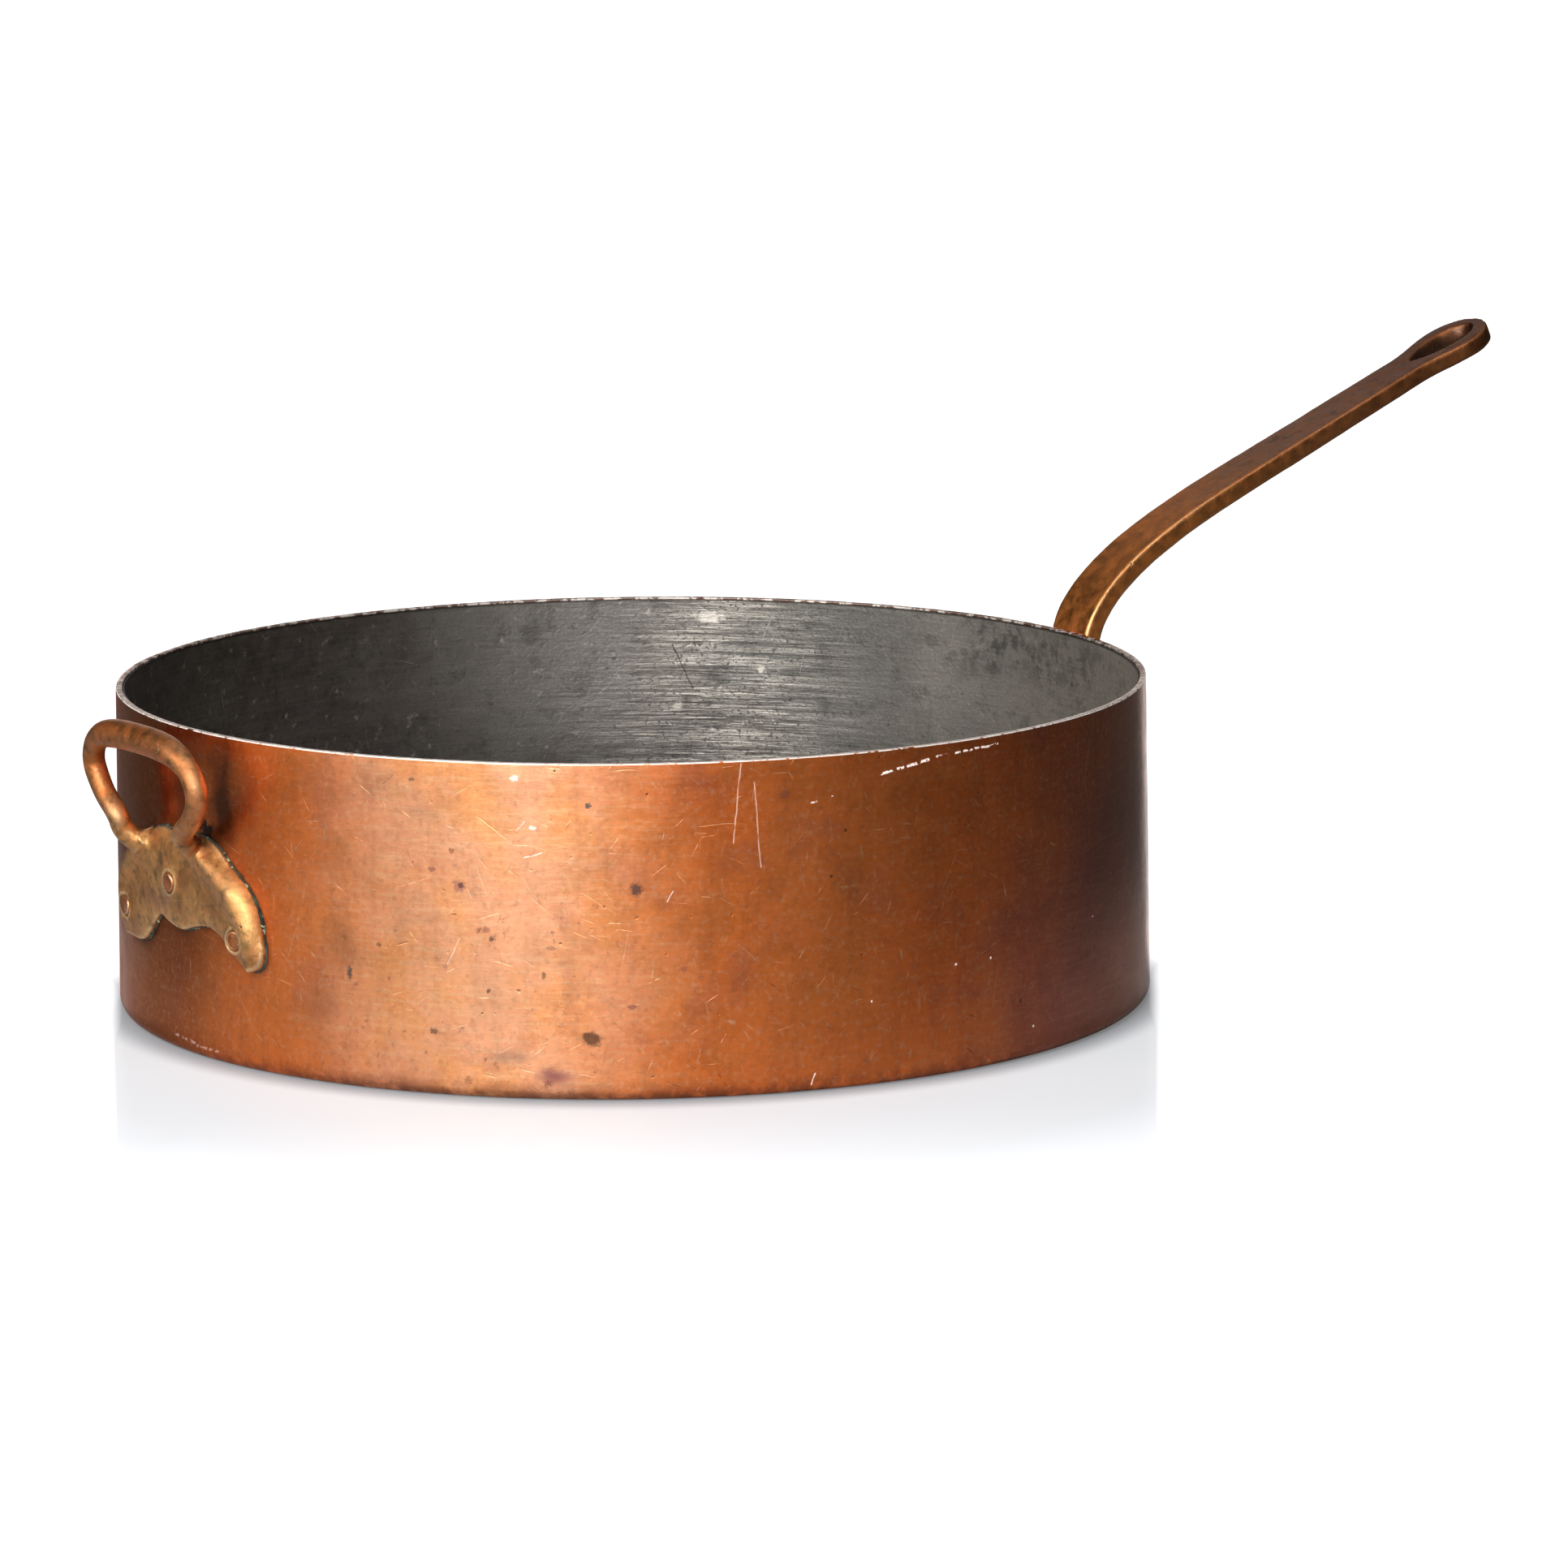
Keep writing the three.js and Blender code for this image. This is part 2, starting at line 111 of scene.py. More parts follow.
def feed(value, socket):
    value = getattr(value, "socket", value)
    if isinstance(value, bpy.types.NodeSocket):
        socket.id_data.links.new(value, socket)
    else:
        socket.default_value = value


def addNode(tree, kind, values=None, **settings):
    node = tree.nodes.new(kind)
    for name, value in settings.items():
        setattr(node, name, value)
    for key, value in (values or {}).items():
        feed(value, node.inputs[key])
    return node


# A node's output, which adds and multiplies like a number or a vector
class Field:
    def __init__(self, socket):
        self.socket, self.tree = socket, socket.id_data
        self.single = socket.type == "VALUE"

    def node(self, kind, values, output=0, **settings):
        return Field(addNode(self.tree, kind, values, **settings).outputs[output])

    def calc(self, operation, *others, first=None):
        terms = (self, *others) if first is None else (first, self)
        kind = "ShaderNodeMath" if self.single else "ShaderNodeVectorMath"
        output = "Value" if self.single or operation in ("DOT_PRODUCT", "LENGTH") else "Vector"
        return self.node(kind, dict(enumerate(terms)), output, operation=operation)

    def __add__(self, other):
        return self.calc("ADD", other)

    def __sub__(self, other):
        return self.calc("SUBTRACT", other)

    def __rsub__(self, other):
        return self.calc("SUBTRACT", first=other)

    def __mul__(self, other):
        return self.calc("MULTIPLY", other)

    def __truediv__(self, other):
        return self.calc("DIVIDE", other)

    def __rtruediv__(self, other):
        return self.calc("DIVIDE", first=other)

    __radd__, __rmul__ = __add__, __mul__

    def scaled(self, amount):
        return self.node("ShaderNodeVectorMath", {0: self, "Scale": amount}, operation="SCALE")

    def parts(self, kind="XYZ"):
        node = addNode(self.tree, "ShaderNodeSeparate" + kind, {0: self})
        return [Field(output) for output in node.outputs]


def most(first, second):
    return first.calc("MAXIMUM", second)


def dot(first, second):
    return first.calc("DOT_PRODUCT", second)


def lengthOf(vector):
    return vector.calc("LENGTH")


def upright(height):
    return height.node("ShaderNodeCombineXYZ", {2: height})


def flatLength(x, y):
    return lengthOf(x.node("ShaderNodeCombineXYZ", {0: x, 1: y}))


# Smooth step of a field between two levels, from 0 to 1 or the other way round
def step(field, low, high, start=0.0, end=1.0):
    values = {"Value": field, "From Min": low, "From Max": high, "To Min": start, "To Max": end}
    return field.node("ShaderNodeMapRange", values, interpolation_type="SMOOTHSTEP")


def noise(place, scale, detail=3.0, roughness=0.55, output=0):
    values = {"Vector": place, "Scale": scale, "Detail": detail, "Roughness": roughness}
    return place.node("ShaderNodeTexNoise", values, output)


# Noise that pushes each place a little to a side
def bent(place, scale, detail, amount):
    return place + noise(place, scale, detail, output=1).scaled(amount)


def seededNoise(place, seed, scale, detail):
    values = {"Vector": place, "W": seed, "Scale": scale, "Detail": detail}
    return place.node("ShaderNodeTexNoise", values, noise_dimensions="4D")


def mapped(place, scale=(1, 1, 1), shift=(0, 0, 0)):
    return place.node("ShaderNodeMapping", {"Vector": place, "Scale": scale, "Location": shift})


# Random cells: the place from the middle of each, and its own random colour
def cellsOf(place, scale):
    cells = addNode(place.tree, "ShaderNodeTexVoronoi", {"Vector": place, "Scale": scale}).outputs
    return place - Field(cells["Position"]), Field(cells["Color"])


# A node group with inputs of the given kinds: its inputs as fields, and the socket for its result
def newGroup(name, inputs, output, outputKind, kind):
    tree = bpy.data.node_groups.new(name, kind)
    for label, socketKind in inputs.items():
        tree.interface.new_socket(label, in_out="INPUT", socket_type="NodeSocket" + socketKind)
    tree.interface.new_socket(output, in_out="OUTPUT", socket_type="NodeSocket" + outputKind)
    given = {socket.name: Field(socket) for socket in tree.nodes.new("NodeGroupInput").outputs if socket.name}
    return given, tree.nodes.new("NodeGroupOutput").inputs[0]


# Shader node groups that the finishes share. Each is used as a function of a place and its values, for a mask

def newMask(name, draw, *labels, places=()):
    inputs = dict.fromkeys(("Vector", *places), "Vector") | dict.fromkeys(labels, "Float")
    given, result = newGroup(name, inputs, "Mask", "Float", "ShaderNodeTree")
    feed(draw(*given.values()), result)

    def mask(place, *values):
        return place.node("ShaderNodeGroup", dict(enumerate((place, *values))), node_tree=result.id_data)

    return mask


# Blotches of tarnish, from noise between two levels
def drawBlotches(place, scale, detail, low, high):
    return step(noise(place, scale, detail, 0.6), low, high)


# Straight short scratches, each in its own cell and direction
def drawScratches(place, scale, width, length, share):
    local, tint = cellsOf(bent(place, 30.0, 1.0, 0.006), scale)
    across = dot(local, (tint - (0.5, 0.5, 0.5)).calc("NORMALIZE"))
    line = step(across.calc("ABSOLUTE"), 0.0, width, 1.0, 0.0)
    half = length * 0.5
    ends = step(lengthOf(local), half * 0.4, half, 1.0, 0.0)
    broken = step(noise(place, 400.0, 2.0), 0.35, 0.5)
    return line * ends * (tint.parts("Color")[2].calc("LESS_THAN", share) * broken)


# Round pits, specks and pinholes
def drawPits(place, scale, size, share):
    local, tint = cellsOf(bent(place, 900.0, 2.0, 0.0012), scale)
    red, green, blue = tint.parts("Color")
    size = size * (red + 0.35)
    fray = (noise(place, 1100.0) - 0.5) * size * 2.2
    near = step(lengthOf(local) + fray, size * 0.2, size, 1.0, 0.0)
    return near * (blue.calc("LESS_THAN", share) * (green * 0.65 + 0.35))


# One stain at a place, with a ragged edge
def drawStain(place, centre, spread, ragged, grain, core):
    reach = lengthOf((place - centre) / spread) + (noise(place, grain, 4.0) - 0.5) * ragged
    return step(reach, core, 1.0, 1.0, 0.0)


# One scratch or run between two places, wavering, and broken into dashes where asked
def drawStroke(place, start, end, width, broken):
    waver = noise(place, 150.0, 2.0, output=1) - (0.5, 0.5, 0.5)
    local = place + waver.scaled(0.0012) - start
    along = end - start
    share = (dot(local, along) / dot(along, along)).calc("MAXIMUM", 0.0).calc("MINIMUM", 1.0)
    line = step(lengthOf(local - along.scaled(share)), width * 0.3, width, 1.0, 0.0)
    return line * step(noise(place, 420.0, 2.0) - broken, 0.0, 0.05)


blots = newMask("blotches", drawBlotches, "Scale", "Detail", "Low", "High")
cuts = newMask("scratches", drawScratches, "Scale", "Width", "Length", "Share")
spots = newMask("pits", drawPits, "Scale", "Size", "Share")
stain = newMask("stain", drawStain, "Ragged", "Grain", "Core", places=("Centre", "Spread"))
strokeFrom = newMask("stroke", drawStroke, "Width", "Broken", places=("Start", "End"))


def stainAt(place, centre, wide, tall, ragged, grain, core):
    return stain(place, centre, (wide, wide, tall), ragged, grain, core)


# A paint, from its levels in a picture to the light that the renderer takes
def paintOf(levels):
    return (*(((c / 255 + 0.055) / 1.055) ** 2.4 if c > 10 else c / 255 / 12.92 for c in levels), 1.0)


# A finish as it is painted: its own place field, its paints and its tone so far
class Finish:
    def __init__(self, name, paints, settings, shift=(0, 0, 0)):
        self.material = bpy.data.materials.new(name)
        self.material.use_nodes = True
        self.tree, self.shift = self.material.node_tree, shift
        self.place = Field(self.tree.nodes.new("ShaderNodeTexCoord").outputs["Object"])
        self.paints = {label: paintOf(levels) for label, levels in paints.items()}
        self.tone = None
        self.set(settings)

    def set(self, settings):
        for label, value in settings.items():
            feed(value, self.tree.nodes["Principled BSDF"].inputs[label])

    def attribute(self, name):
        return Field(addNode(self.tree, "ShaderNodeAttribute", attribute_name=name).outputs["Fac"])

    # The same place further on, so that a mask used again looks another
    def shifted(self, number):
        return mapped(self.place, shift=[number * way for way in self.shift])

    def blend(self, share, first, second):
        first, second = (self.paints[tone] if isinstance(tone, str) else tone for tone in (first, second))
        return share.node("ShaderNodeMix", {0: share, 6: first, 7: second}, 2, data_type="RGBA")

    # One layer of marks over the tone
    def over(self, mask, strength, paint):
        self.tone = self.blend(mask * strength, self.tone, paint)

    def done(self, rough, relief, strength, distance):
        bump = relief.node("ShaderNodeBump", {"Height": relief, "Strength": strength, "Distance": distance})
        self.set({"Base Color": self.tone, "Roughness": rough, "Normal": bump})
        return self.material


# Copper

copperWall = {
    "bright": (244, 131, 60), "deep": (230, 112, 44), "ochre": (230, 126, 52), "peachSheen": (255, 188, 144),
    "amber": (255, 180, 118), "brown": (128, 66, 46), "purple": (150, 90, 88), "sideShade": (100, 64, 56),
    "russetShade": (112, 56, 36), "teal": (128, 152, 132), "slate": (84, 84, 84), "dirtAndShade": (44, 36, 32),
    "scratch": (255, 214, 168), "white": (255, 246, 236), "edge": (70, 44, 36),
}

# Wide tints of the wall: centre, half width, half height, raggedness, grain, core
wallTints = {
    # painted highlight: a paler peach patch where the lamps reflect down the front of the wall
    "wearAndSheen": (roundThePan(-16, 0.21, 0.055), 0.096, 0.5, 0.55, 16.0, 0.1),
    # painted reflection of the pale floor, purple-grey, low on the right of the wall
    "dullAndReflected": (roundThePan(64, 0.21, 0.02), 0.12, 0.14, 0.6, 20.0, 0.2),
    # the next two paint shade down the right and the left side of the wall
    "rightEdge": (roundThePan(80, 0.21, 0.08), 0.15, 0.5, 0.4, 20.0, 0.1),
    "leftEdge": (roundThePan(-70, 0.21, 0.04), 0.09, 0.3, 0.6, 20.0, 0.1),
}

# Marks seen on the wall: degrees round the pan, height, half width, half height, paint, strength
wallMarks = [
    (0.2, 0.0824, 0.0023, 0.0026, "slate", 0.85), (0.2, 0.0824, 0.0042, 0.0036, "brown", 0.35),
    (-4.6, 0.0241, 0.0052, 0.0034, "dirtAndShade", 0.75), (-18.4, 0.0828, 0.0014, 0.0014, "dirtAndShade", 0.85),
    (-18.6, 0.0826, 0.0036, 0.003, "purple", 0.5), (-4.7, 0.1149, 0.0015, 0.0014, "slate", 0.85),
    (-21.6, 0.0255, 0.002, 0.0016, "dirtAndShade", 0.6), (-15.1, 0.0625, 0.0017, 0.0011, "dirtAndShade", 0.6),
    (-9.6, 0.0489, 0.0012, 0.002, "dirtAndShade", 0.6), (-15.5, 0.0422, 0.0011, 0.0011, "dirtAndShade", 0.7),
    (-27.9, 0.0575, 0.0015, 0.0012, "brown", 0.6), (-8.6, 0.0094, 0.0115, 0.0048, "purple", 0.85),
    (-13.2, 0.0169, 0.011, 0.0044, "slate", 0.4), (16.0, 0.1169, 0.003, 0.0022, "purple", 0.35),
    (-19.4, 0.0962, 0.0013, 0.0016, "brown", 0.5), (-31.5, 0.0455, 0.0014, 0.0034, "slate", 0.8),
    (-21.6, 0.0886, 0.0021, 0.0012, "purple", 0.6), (-15.7, 0.066, 0.0018, 0.0016, "purple", 0.6),
    (-8.8, 0.0595, 0.0024, 0.0011, "purple", 0.5), (-0.4, 0.0367, 0.0024, 0.0013, "purple", 0.6),
    (-19.2, 0.0715, 0.0018, 0.0005, "dirtAndShade", 0.6), (-23.8, 0.123, 0.0018, 0.001, "slate", 0.6),
    (5.0, 0.051, 0.002, 0.0014, "purple", 0.4), (22.7, 0.1013, 0.0008, 0.0008, "dirtAndShade", 0.7),
    # the white marks at -10.6 and -12.4 degrees, on this line and the next, are painted glints
    (21.0, 0.0838, 0.0008, 0.0009, "dirtAndShade", 0.7), (-10.6, 0.1062, 0.0018, 0.0012, "white", 0.5),
    (-12.4, 0.1252, 0.0022, 0.0015, "white", 0.5), (36.1, 0.0434, 0.0006, 0.0007, "white", 0.8),
    (41.0, 0.0435, 0.0005, 0.0006, "white", 0.8), (47.5, 0.0126, 0.0008, 0.0006, "white", 0.8),
    # the next two marks paint the helper's shadow on the wall, inside its loop and to the right of it
    (-58.0, 0.1, 0.024, 0.034, "russetShade", 0.7), (-49.8, 0.105, 0.014, 0.03, "dirtAndShade", 0.85),
    # the first mark here paints shade where the loop's right leg meets the plate; the teal ones are crust
    (-52.6, 0.0915, 0.0058, 0.0062, "dirtAndShade", 0.95), (-61.1, 0.0902, 0.0024, 0.0012, "teal", 0.8),
    # the white mark at -54.6 degrees paints glints along the lower edge of the helper's plate
    (-52.4, 0.0868, 0.0014, 0.0024, "teal", 0.8), (-54.6, 0.0526, 0.0034, 0.0006, "white", 0.8),
    (59.3, 0.0491, 0.0007, 0.0004, "white", 0.7), (25.5, 0.0333, 0.0005, 0.0006, "white", 0.6),
]

# Scratches and runs seen on the wall: start, end, half width, brokenness, strength
wallStrokes = [
    ((11.3, 0.1298), (10.4, 0.0992), 0.0004, 0.2, 0.45), ((12.7, 0.1224), (13.3, 0.0895), 0.0004, 0.25, 0.4),
    ((27.0, 0.122), (29.6, 0.1236), 0.0008, 0.45, 1.0), ((30.2, 0.1238), (32.8, 0.1252), 0.0009, 0.44, 1.0),
    ((33.9, 0.1261), (37.0, 0.1265), 0.0007, 0.45, 1.0), ((37.6, 0.1267), (42.4, 0.1274), 0.0007, 0.46, 1.0),
    ((18.3, 0.1126), (21.3, 0.1149), 0.0005, 0.5, 0.8), ((-11.4, 0.0945), (-9.7, 0.0965), 0.0004, 0.3, 0.7),
    ((3.4, 0.0775), (4.0, 0.0815), 0.0003, 0.2, 0.6), ((18.5, 0.003), (18.9, 0.0075), 0.0004, 0.3, 0.8),
    ((-60.0, 0.0065), (-55.5, 0.0055), 0.0008, 0.47, 0.35),
    ((-55.0, 0.0045), (-50.0, 0.0045), 0.0008, 0.48, 0.35),
    ((-12.3, 0.105), (-11.4, 0.1085), 0.0003, 0.3, 0.5), ((-20.0, 0.052), (-18.6, 0.062), 0.0003, 0.3, 0.4),
]

# Layers of fine scratches: shift, scale, half width, length, share of the cells, strength
fineLines = [
    (0, 75.0, 0.00018, 0.009, 0.9, 0.5), (4, 60.0, 0.00018, 0.012, 0.8, 0.4),
    (5, 100.0, 0.00019, 0.0065, 0.9, 0.55), (6, 35.0, 0.00022, 0.022, 0.5, 0.5),
]
wideMark = 0.01    # a mark from this half width up is a soft cloud, and a smaller one is a sharp speck


def makeCopper():
    finish = Finish("agedCopper", copperWall, {
        "Metallic": 1.0, "Coat Weight": 0.28, "Coat Roughness": 0.2, "Specular Tint": (1.0, 0.74, 0.6, 1.0),
    }, (0.31, 0.17, 0.23))
    place, over, shifted = finish.place, finish.over, finish.shifted
    x, y, height = place.parts()
    away = flatLength(x, y)

    # Broad tints. Blotches are given by place, scale, detail and their low and high level
    finish.tone = finish.blend(blots(place, 7.0, 3.0, 0.35, 0.68), "bright", "deep")
    over(blots(place, 40.0, 9.0, 0.4, 0.7), 0.4, "ochre")
    wearAndSheen, dullAndReflected, rightEdge, leftEdge = (stainAt(place, *tint) for tint in wallTints.values())
    # Painted highlight: paler peach where the lamps reflect down the wall
    over(wearAndSheen, 0.8, finish.blend(blots(shifted(1), 26.0, 6.0, 0.4, 0.6), "peachSheen", "amber"))
    # Painted reflection: purple-grey low on the right of the wall
    over(dullAndReflected, 0.75, "purple")
    # Painted shade down the right and the left side of the wall
    over(rightEdge, 0.8, "sideShade")
    over(leftEdge, 0.75, "russetShade")
    finish.set({"Coat Weight": leftEdge.calc("MULTIPLY_ADD", -0.26, 0.28)})
    smooth = 1.0 - dullAndReflected * 0.75

    # Runs, wiped lines, bloom, freckles and grain
    lower = step(height, 0.06, 0.1, 1.0, 0.3) * (wearAndSheen + 0.3)
    wiped = blots(mapped(place, (1, 1, 12)), 55.0, 9.0, 0.46, 0.68)
    over(blots(mapped(place, (1, 1, 0.15)), 120.0, 8.0, 0.45, 0.75), 0.2, "brown")
    # the wiped lines show paler under the painted highlight
    over(wiped * (wearAndSheen + 0.25), 0.22, "scratch")
    over(blots(place, 60.0, 8.0, 0.5, 0.72), 0.22, "brown")
    over(blots(shifted(2), 34.0, 6.0, 0.52, 0.68), 0.22, "purple")
    over(blots(place, 230.0, 4.0, 0.61, 0.74) * lower, 0.5, "purple")
    over(spots(place, 170.0, 0.0018, 0.3) * lower, 0.55, "brown")
    over(blots(place, 420.0, 6.0, 0.45, 0.75), 0.22, "brown")
    over(blots(shifted(3), 480.0, 6.0, 0.5, 0.75) * smooth, 0.25, "scratch")

    # Scratches, darker blotches at the foot, and specks
    lines = 0.0
    for number, scale, width, length, share, strength in fineLines:
        lines = most(cuts(shifted(number), scale, width, length, share) * strength, lines)
    over(lines * smooth, 1.0, "scratch")
    scars = cuts(shifted(7), 60.0, 0.0002, 0.008, 0.3)
    over(scars, 0.6, "dirtAndShade")
    over(step(height, 0.0, 0.009, 1.0, 0.0) * blots(place, 160.0, 4.0, 0.3, 0.62), 0.75, "brown")
    specks = spots(place, 210.0, 0.0007, 0.14)
    over(specks, 0.8, "dirtAndShade")

    # Marks and strokes at their places
    flecks = 0.0
    for degrees, level, wide, tall, paint, strength in wallMarks:
        ragged, core = (1.7, 0.5) if wide < wideMark else (0.7, 0.1)
        mark = stainAt(place, onShell(degrees, level), wide, tall, ragged, min(1.7 / wide, 1200.0), core)
        over(mark, strength, paint)
        if paint == "white":
            flecks = most(mark, flecks)
    for start, end, width, broken, strength in wallStrokes:
        drawn = strokeFrom(place, onShell(*start), onShell(*end), width, broken) * strength
        over(drawn, 1.0, "white")
        flecks = most(drawn, flecks)
    # partly soot round the plates, partly painted shade beside them
    grimeAndShade = finish.attribute("grimeAndShade")
    over(grimeAndShade, 0.85, "dirtAndShade")

    # Rim: dark cut top with pale tin on it, a painted highlight on its near side, and a bright chipped arris
    inside = step(away, 0.2084, 0.2087, 1.0, 0.0) * step(height, 0.12, 0.128)
    top = most(step(height, 0.13088, 0.13098), inside)
    over(top, 0.9, "edge")
    # Painted highlight: the rim's top is paler on the side towards the camera
    nearSideSheen = step(dot(place, roundThePan(0, 1.0)), -0.06, 0.08)
    over(top * most(blots(place, 240.0, 4.0, 0.47, 0.56), nearSideSheen * 0.55), 0.75, "white")
    arris = step(height, 0.1304, 0.1306) * step(height, 0.13088, 0.13098, 1.0, 0.0)
    arris = arris * step(away, 0.2085, 0.209, 0.25, 1.0) * blots(place, 260.0, 5.0, 0.34, 0.46)
    over(arris, 1.0, "white")
    wornAndLit = most(arris * 0.8, top * nearSideSheen * 0.4)
    finish.set({"Metallic": 1.0 - most(flecks, wornAndLit)})

    rough = step(noise(place, 60.0, 5.0), 0.3, 0.7, 0.37, 0.46)
    for mask, more in ((specks, 0.3), (grimeAndShade, 0.3), (top, 0.2), (most(rightEdge, leftEdge), -0.21)):
        rough = rough + mask * more
    relief, dints = noise(place, 45.0), noise(place, 260.0, 4.0)
    brushed = noise(mapped(place, (1, 1, 8)), 260.0, 5.0, 0.65)
    for mask, depth in ((brushed, -0.14), (dints, -0.22), (specks, 0.5), (lines, 0.25), (scars, 0.3)):
        relief = relief - mask * depth
    return finish.done(rough, relief, 0.5, 0.0006)


# Tin

tinCoat = {
    "bright": (238, 230, 218), "dullAndReflected": (118, 116, 111), "dark": (58, 55, 50), "green": (62, 66, 52),
    "brown": (98, 90, 82), "lilac": (108, 104, 104), "line": (40, 36, 34),
}

# Wide tints of the lining, as for the wall
tinTints = {
    # partly scoured streaks, partly a painted highlight where the lamps reflect on the far wall
    "scouredAndLit": (roundThePan(168, 0.205, 0.07), 0.09, 0.13, 0.7, 22.0, 0.1),
    # painted highlight on the right of the lining
    "wornAndLit": (roundThePan(112, 0.205, 0.06), 0.19, 0.3, 0.5, 20.0, 0.2),
    "pale": (roundThePan(-166, 0.205, 0.11), 0.09, 0.1, 0.8, 20.0, 0.1),
}

# Streaks: shift, squash, scale and levels. Patches: degrees, height, half sizes and strength
tinStreaks = [(1, 45.0, 11.0, 0.44, 0.62), (2, 40.0, 26.0, 0.46, 0.64), (3, 22.0, 75.0, 0.47, 0.64)]
tinPatches = [(126, 0.119, 0.085, 0.022, 0.6), (-130, 0.118, 0.14, 0.03, 0.4)]
tinMarks = [
    (170.4, 0.1222, 0.0085, 0.0035, 0.8), (164.2, 0.1, 0.0024, 0.0024, 0.8),
    (174.4, 0.083, 0.003, 0.003, 0.5), (150.5, 0.059, 0.006, 0.0012, 0.8),
]
tinLine = [(175.0, 0.11), (170.6, 0.0745), (169.5, 0.05)]    # a dark scratch from place to place
tinRadius = 0.2068


def makeTin():
    finish = Finish("wornTin", tinCoat, {"Metallic": 1.0}, (0.27, 0.19, 0.13))
    place, over, shifted = finish.place, finish.over, finish.shifted
    scouredAndLit, wornAndLit, pale = (stainAt(place, *tint) for tint in tinTints.values())
    finish.tone = finish.blend(blots(place, 9.0, 5.0, 0.36, 0.64), "dullAndReflected", "lilac")
    over(blots(place, 30.0, 10.0, 0.42, 0.64), 0.5, "brown")
    # Painted highlight on the right of the lining
    over(wornAndLit, 0.68, "bright")
    over(pale, 0.3, "bright")

    # Fine level streaks where the tin is scoured bare, strongest under the painted highlight on the far wall
    tooth = blots(place, 620.0, 5.0, 0.3, 0.56)
    bare = 0.0
    for number, squash, scale, low, high in tinStreaks:
        bare = blots(mapped(shifted(number), (1, 1, squash)), scale, 5.0, low, high) + bare
    bare = (bare * 0.6 * tooth * (scouredAndLit * 0.62 + 0.07)).calc("MINIMUM", 1.0)
    over(bare, 0.95, "bright")
    fine = blots(mapped(shifted(4), (1, 1, 18)), 60.0, 8.0, 0.46, 0.66)
    over(fine * (scouredAndLit * 0.5 + 0.35), 0.5, "dark")

    # Clouding, grain, flecks, green patches and specks
    mould = blots(place, 90.0, 10.0, 0.5, 0.7)
    over(mould, 0.35, "dark")
    grains = blots(place, 620.0, 5.0, 0.45, 0.7)
    over(grains, 0.35, "dark")
    over(blots(shifted(5), 200.0, 6.0, 0.6, 0.74), 0.45, "bright")
    for degrees, level, wide, tall, strength in tinPatches:
        patch = stainAt(place, roundThePan(degrees, 0.206, level), wide, tall, 1.0, 45.0, 0.1)
        over(patch * blots(place, 150.0, 9.0, 0.42, 0.62), strength, "green")
    over(spots(place, 230.0, 0.0012, 0.25), 0.6, "dark")
    over(cuts(place, 70.0, 0.00014, 0.014, 0.7), 0.45, "bright")
    for degrees, level, wide, tall, strength in tinMarks:
        mark = stainAt(place, roundThePan(degrees, tinRadius, level), wide, tall, 1.2, 420.0, 0.3)
        over(mark, strength, "bright")
    ends = [roundThePan(degrees, tinRadius, level) for degrees, level in tinLine]
    for start, end in zip(ends, ends[1:]):
        over(strokeFrom(place, start, end, 0.0005, 0.3), 0.8, "line")
    over(step(place.parts()[2], 0.1292, 0.1299), 0.8, "dark")
    rough = step(bare, 0.0, 1.0, 0.46, 0.34) + grains * 0.1
    return finish.done(rough, bare * 0.35 + tooth * 0.15 - mould * 0.35, 0.5, 0.0004)


# Bronze of the two castings

bronze = {
    "golden": (226, 170, 106), "ochre": (196, 134, 76), "coppery": (196, 114, 56), "umber": (176, 114, 80),
    "brown": (120, 68, 38), "dark": (44, 34, 26), "green": (96, 92, 54), "wornAndLit": (255, 226, 176),
    "amber": (244, 152, 78),
}

# What sets the golden helper apart from the browner long handle
castings = {
    "goldenBronze": {"golden": True, "green": 0.5, "high": (0.56, 0.78), "wornAndLit": 0.5, "rough": (0.44, 0.62)},
    "brownBronze": {"golden": False, "green": 0.15, "high": (0.75, 0.95), "wornAndLit": 0.3, "rough": (0.34, 0.52)},
}


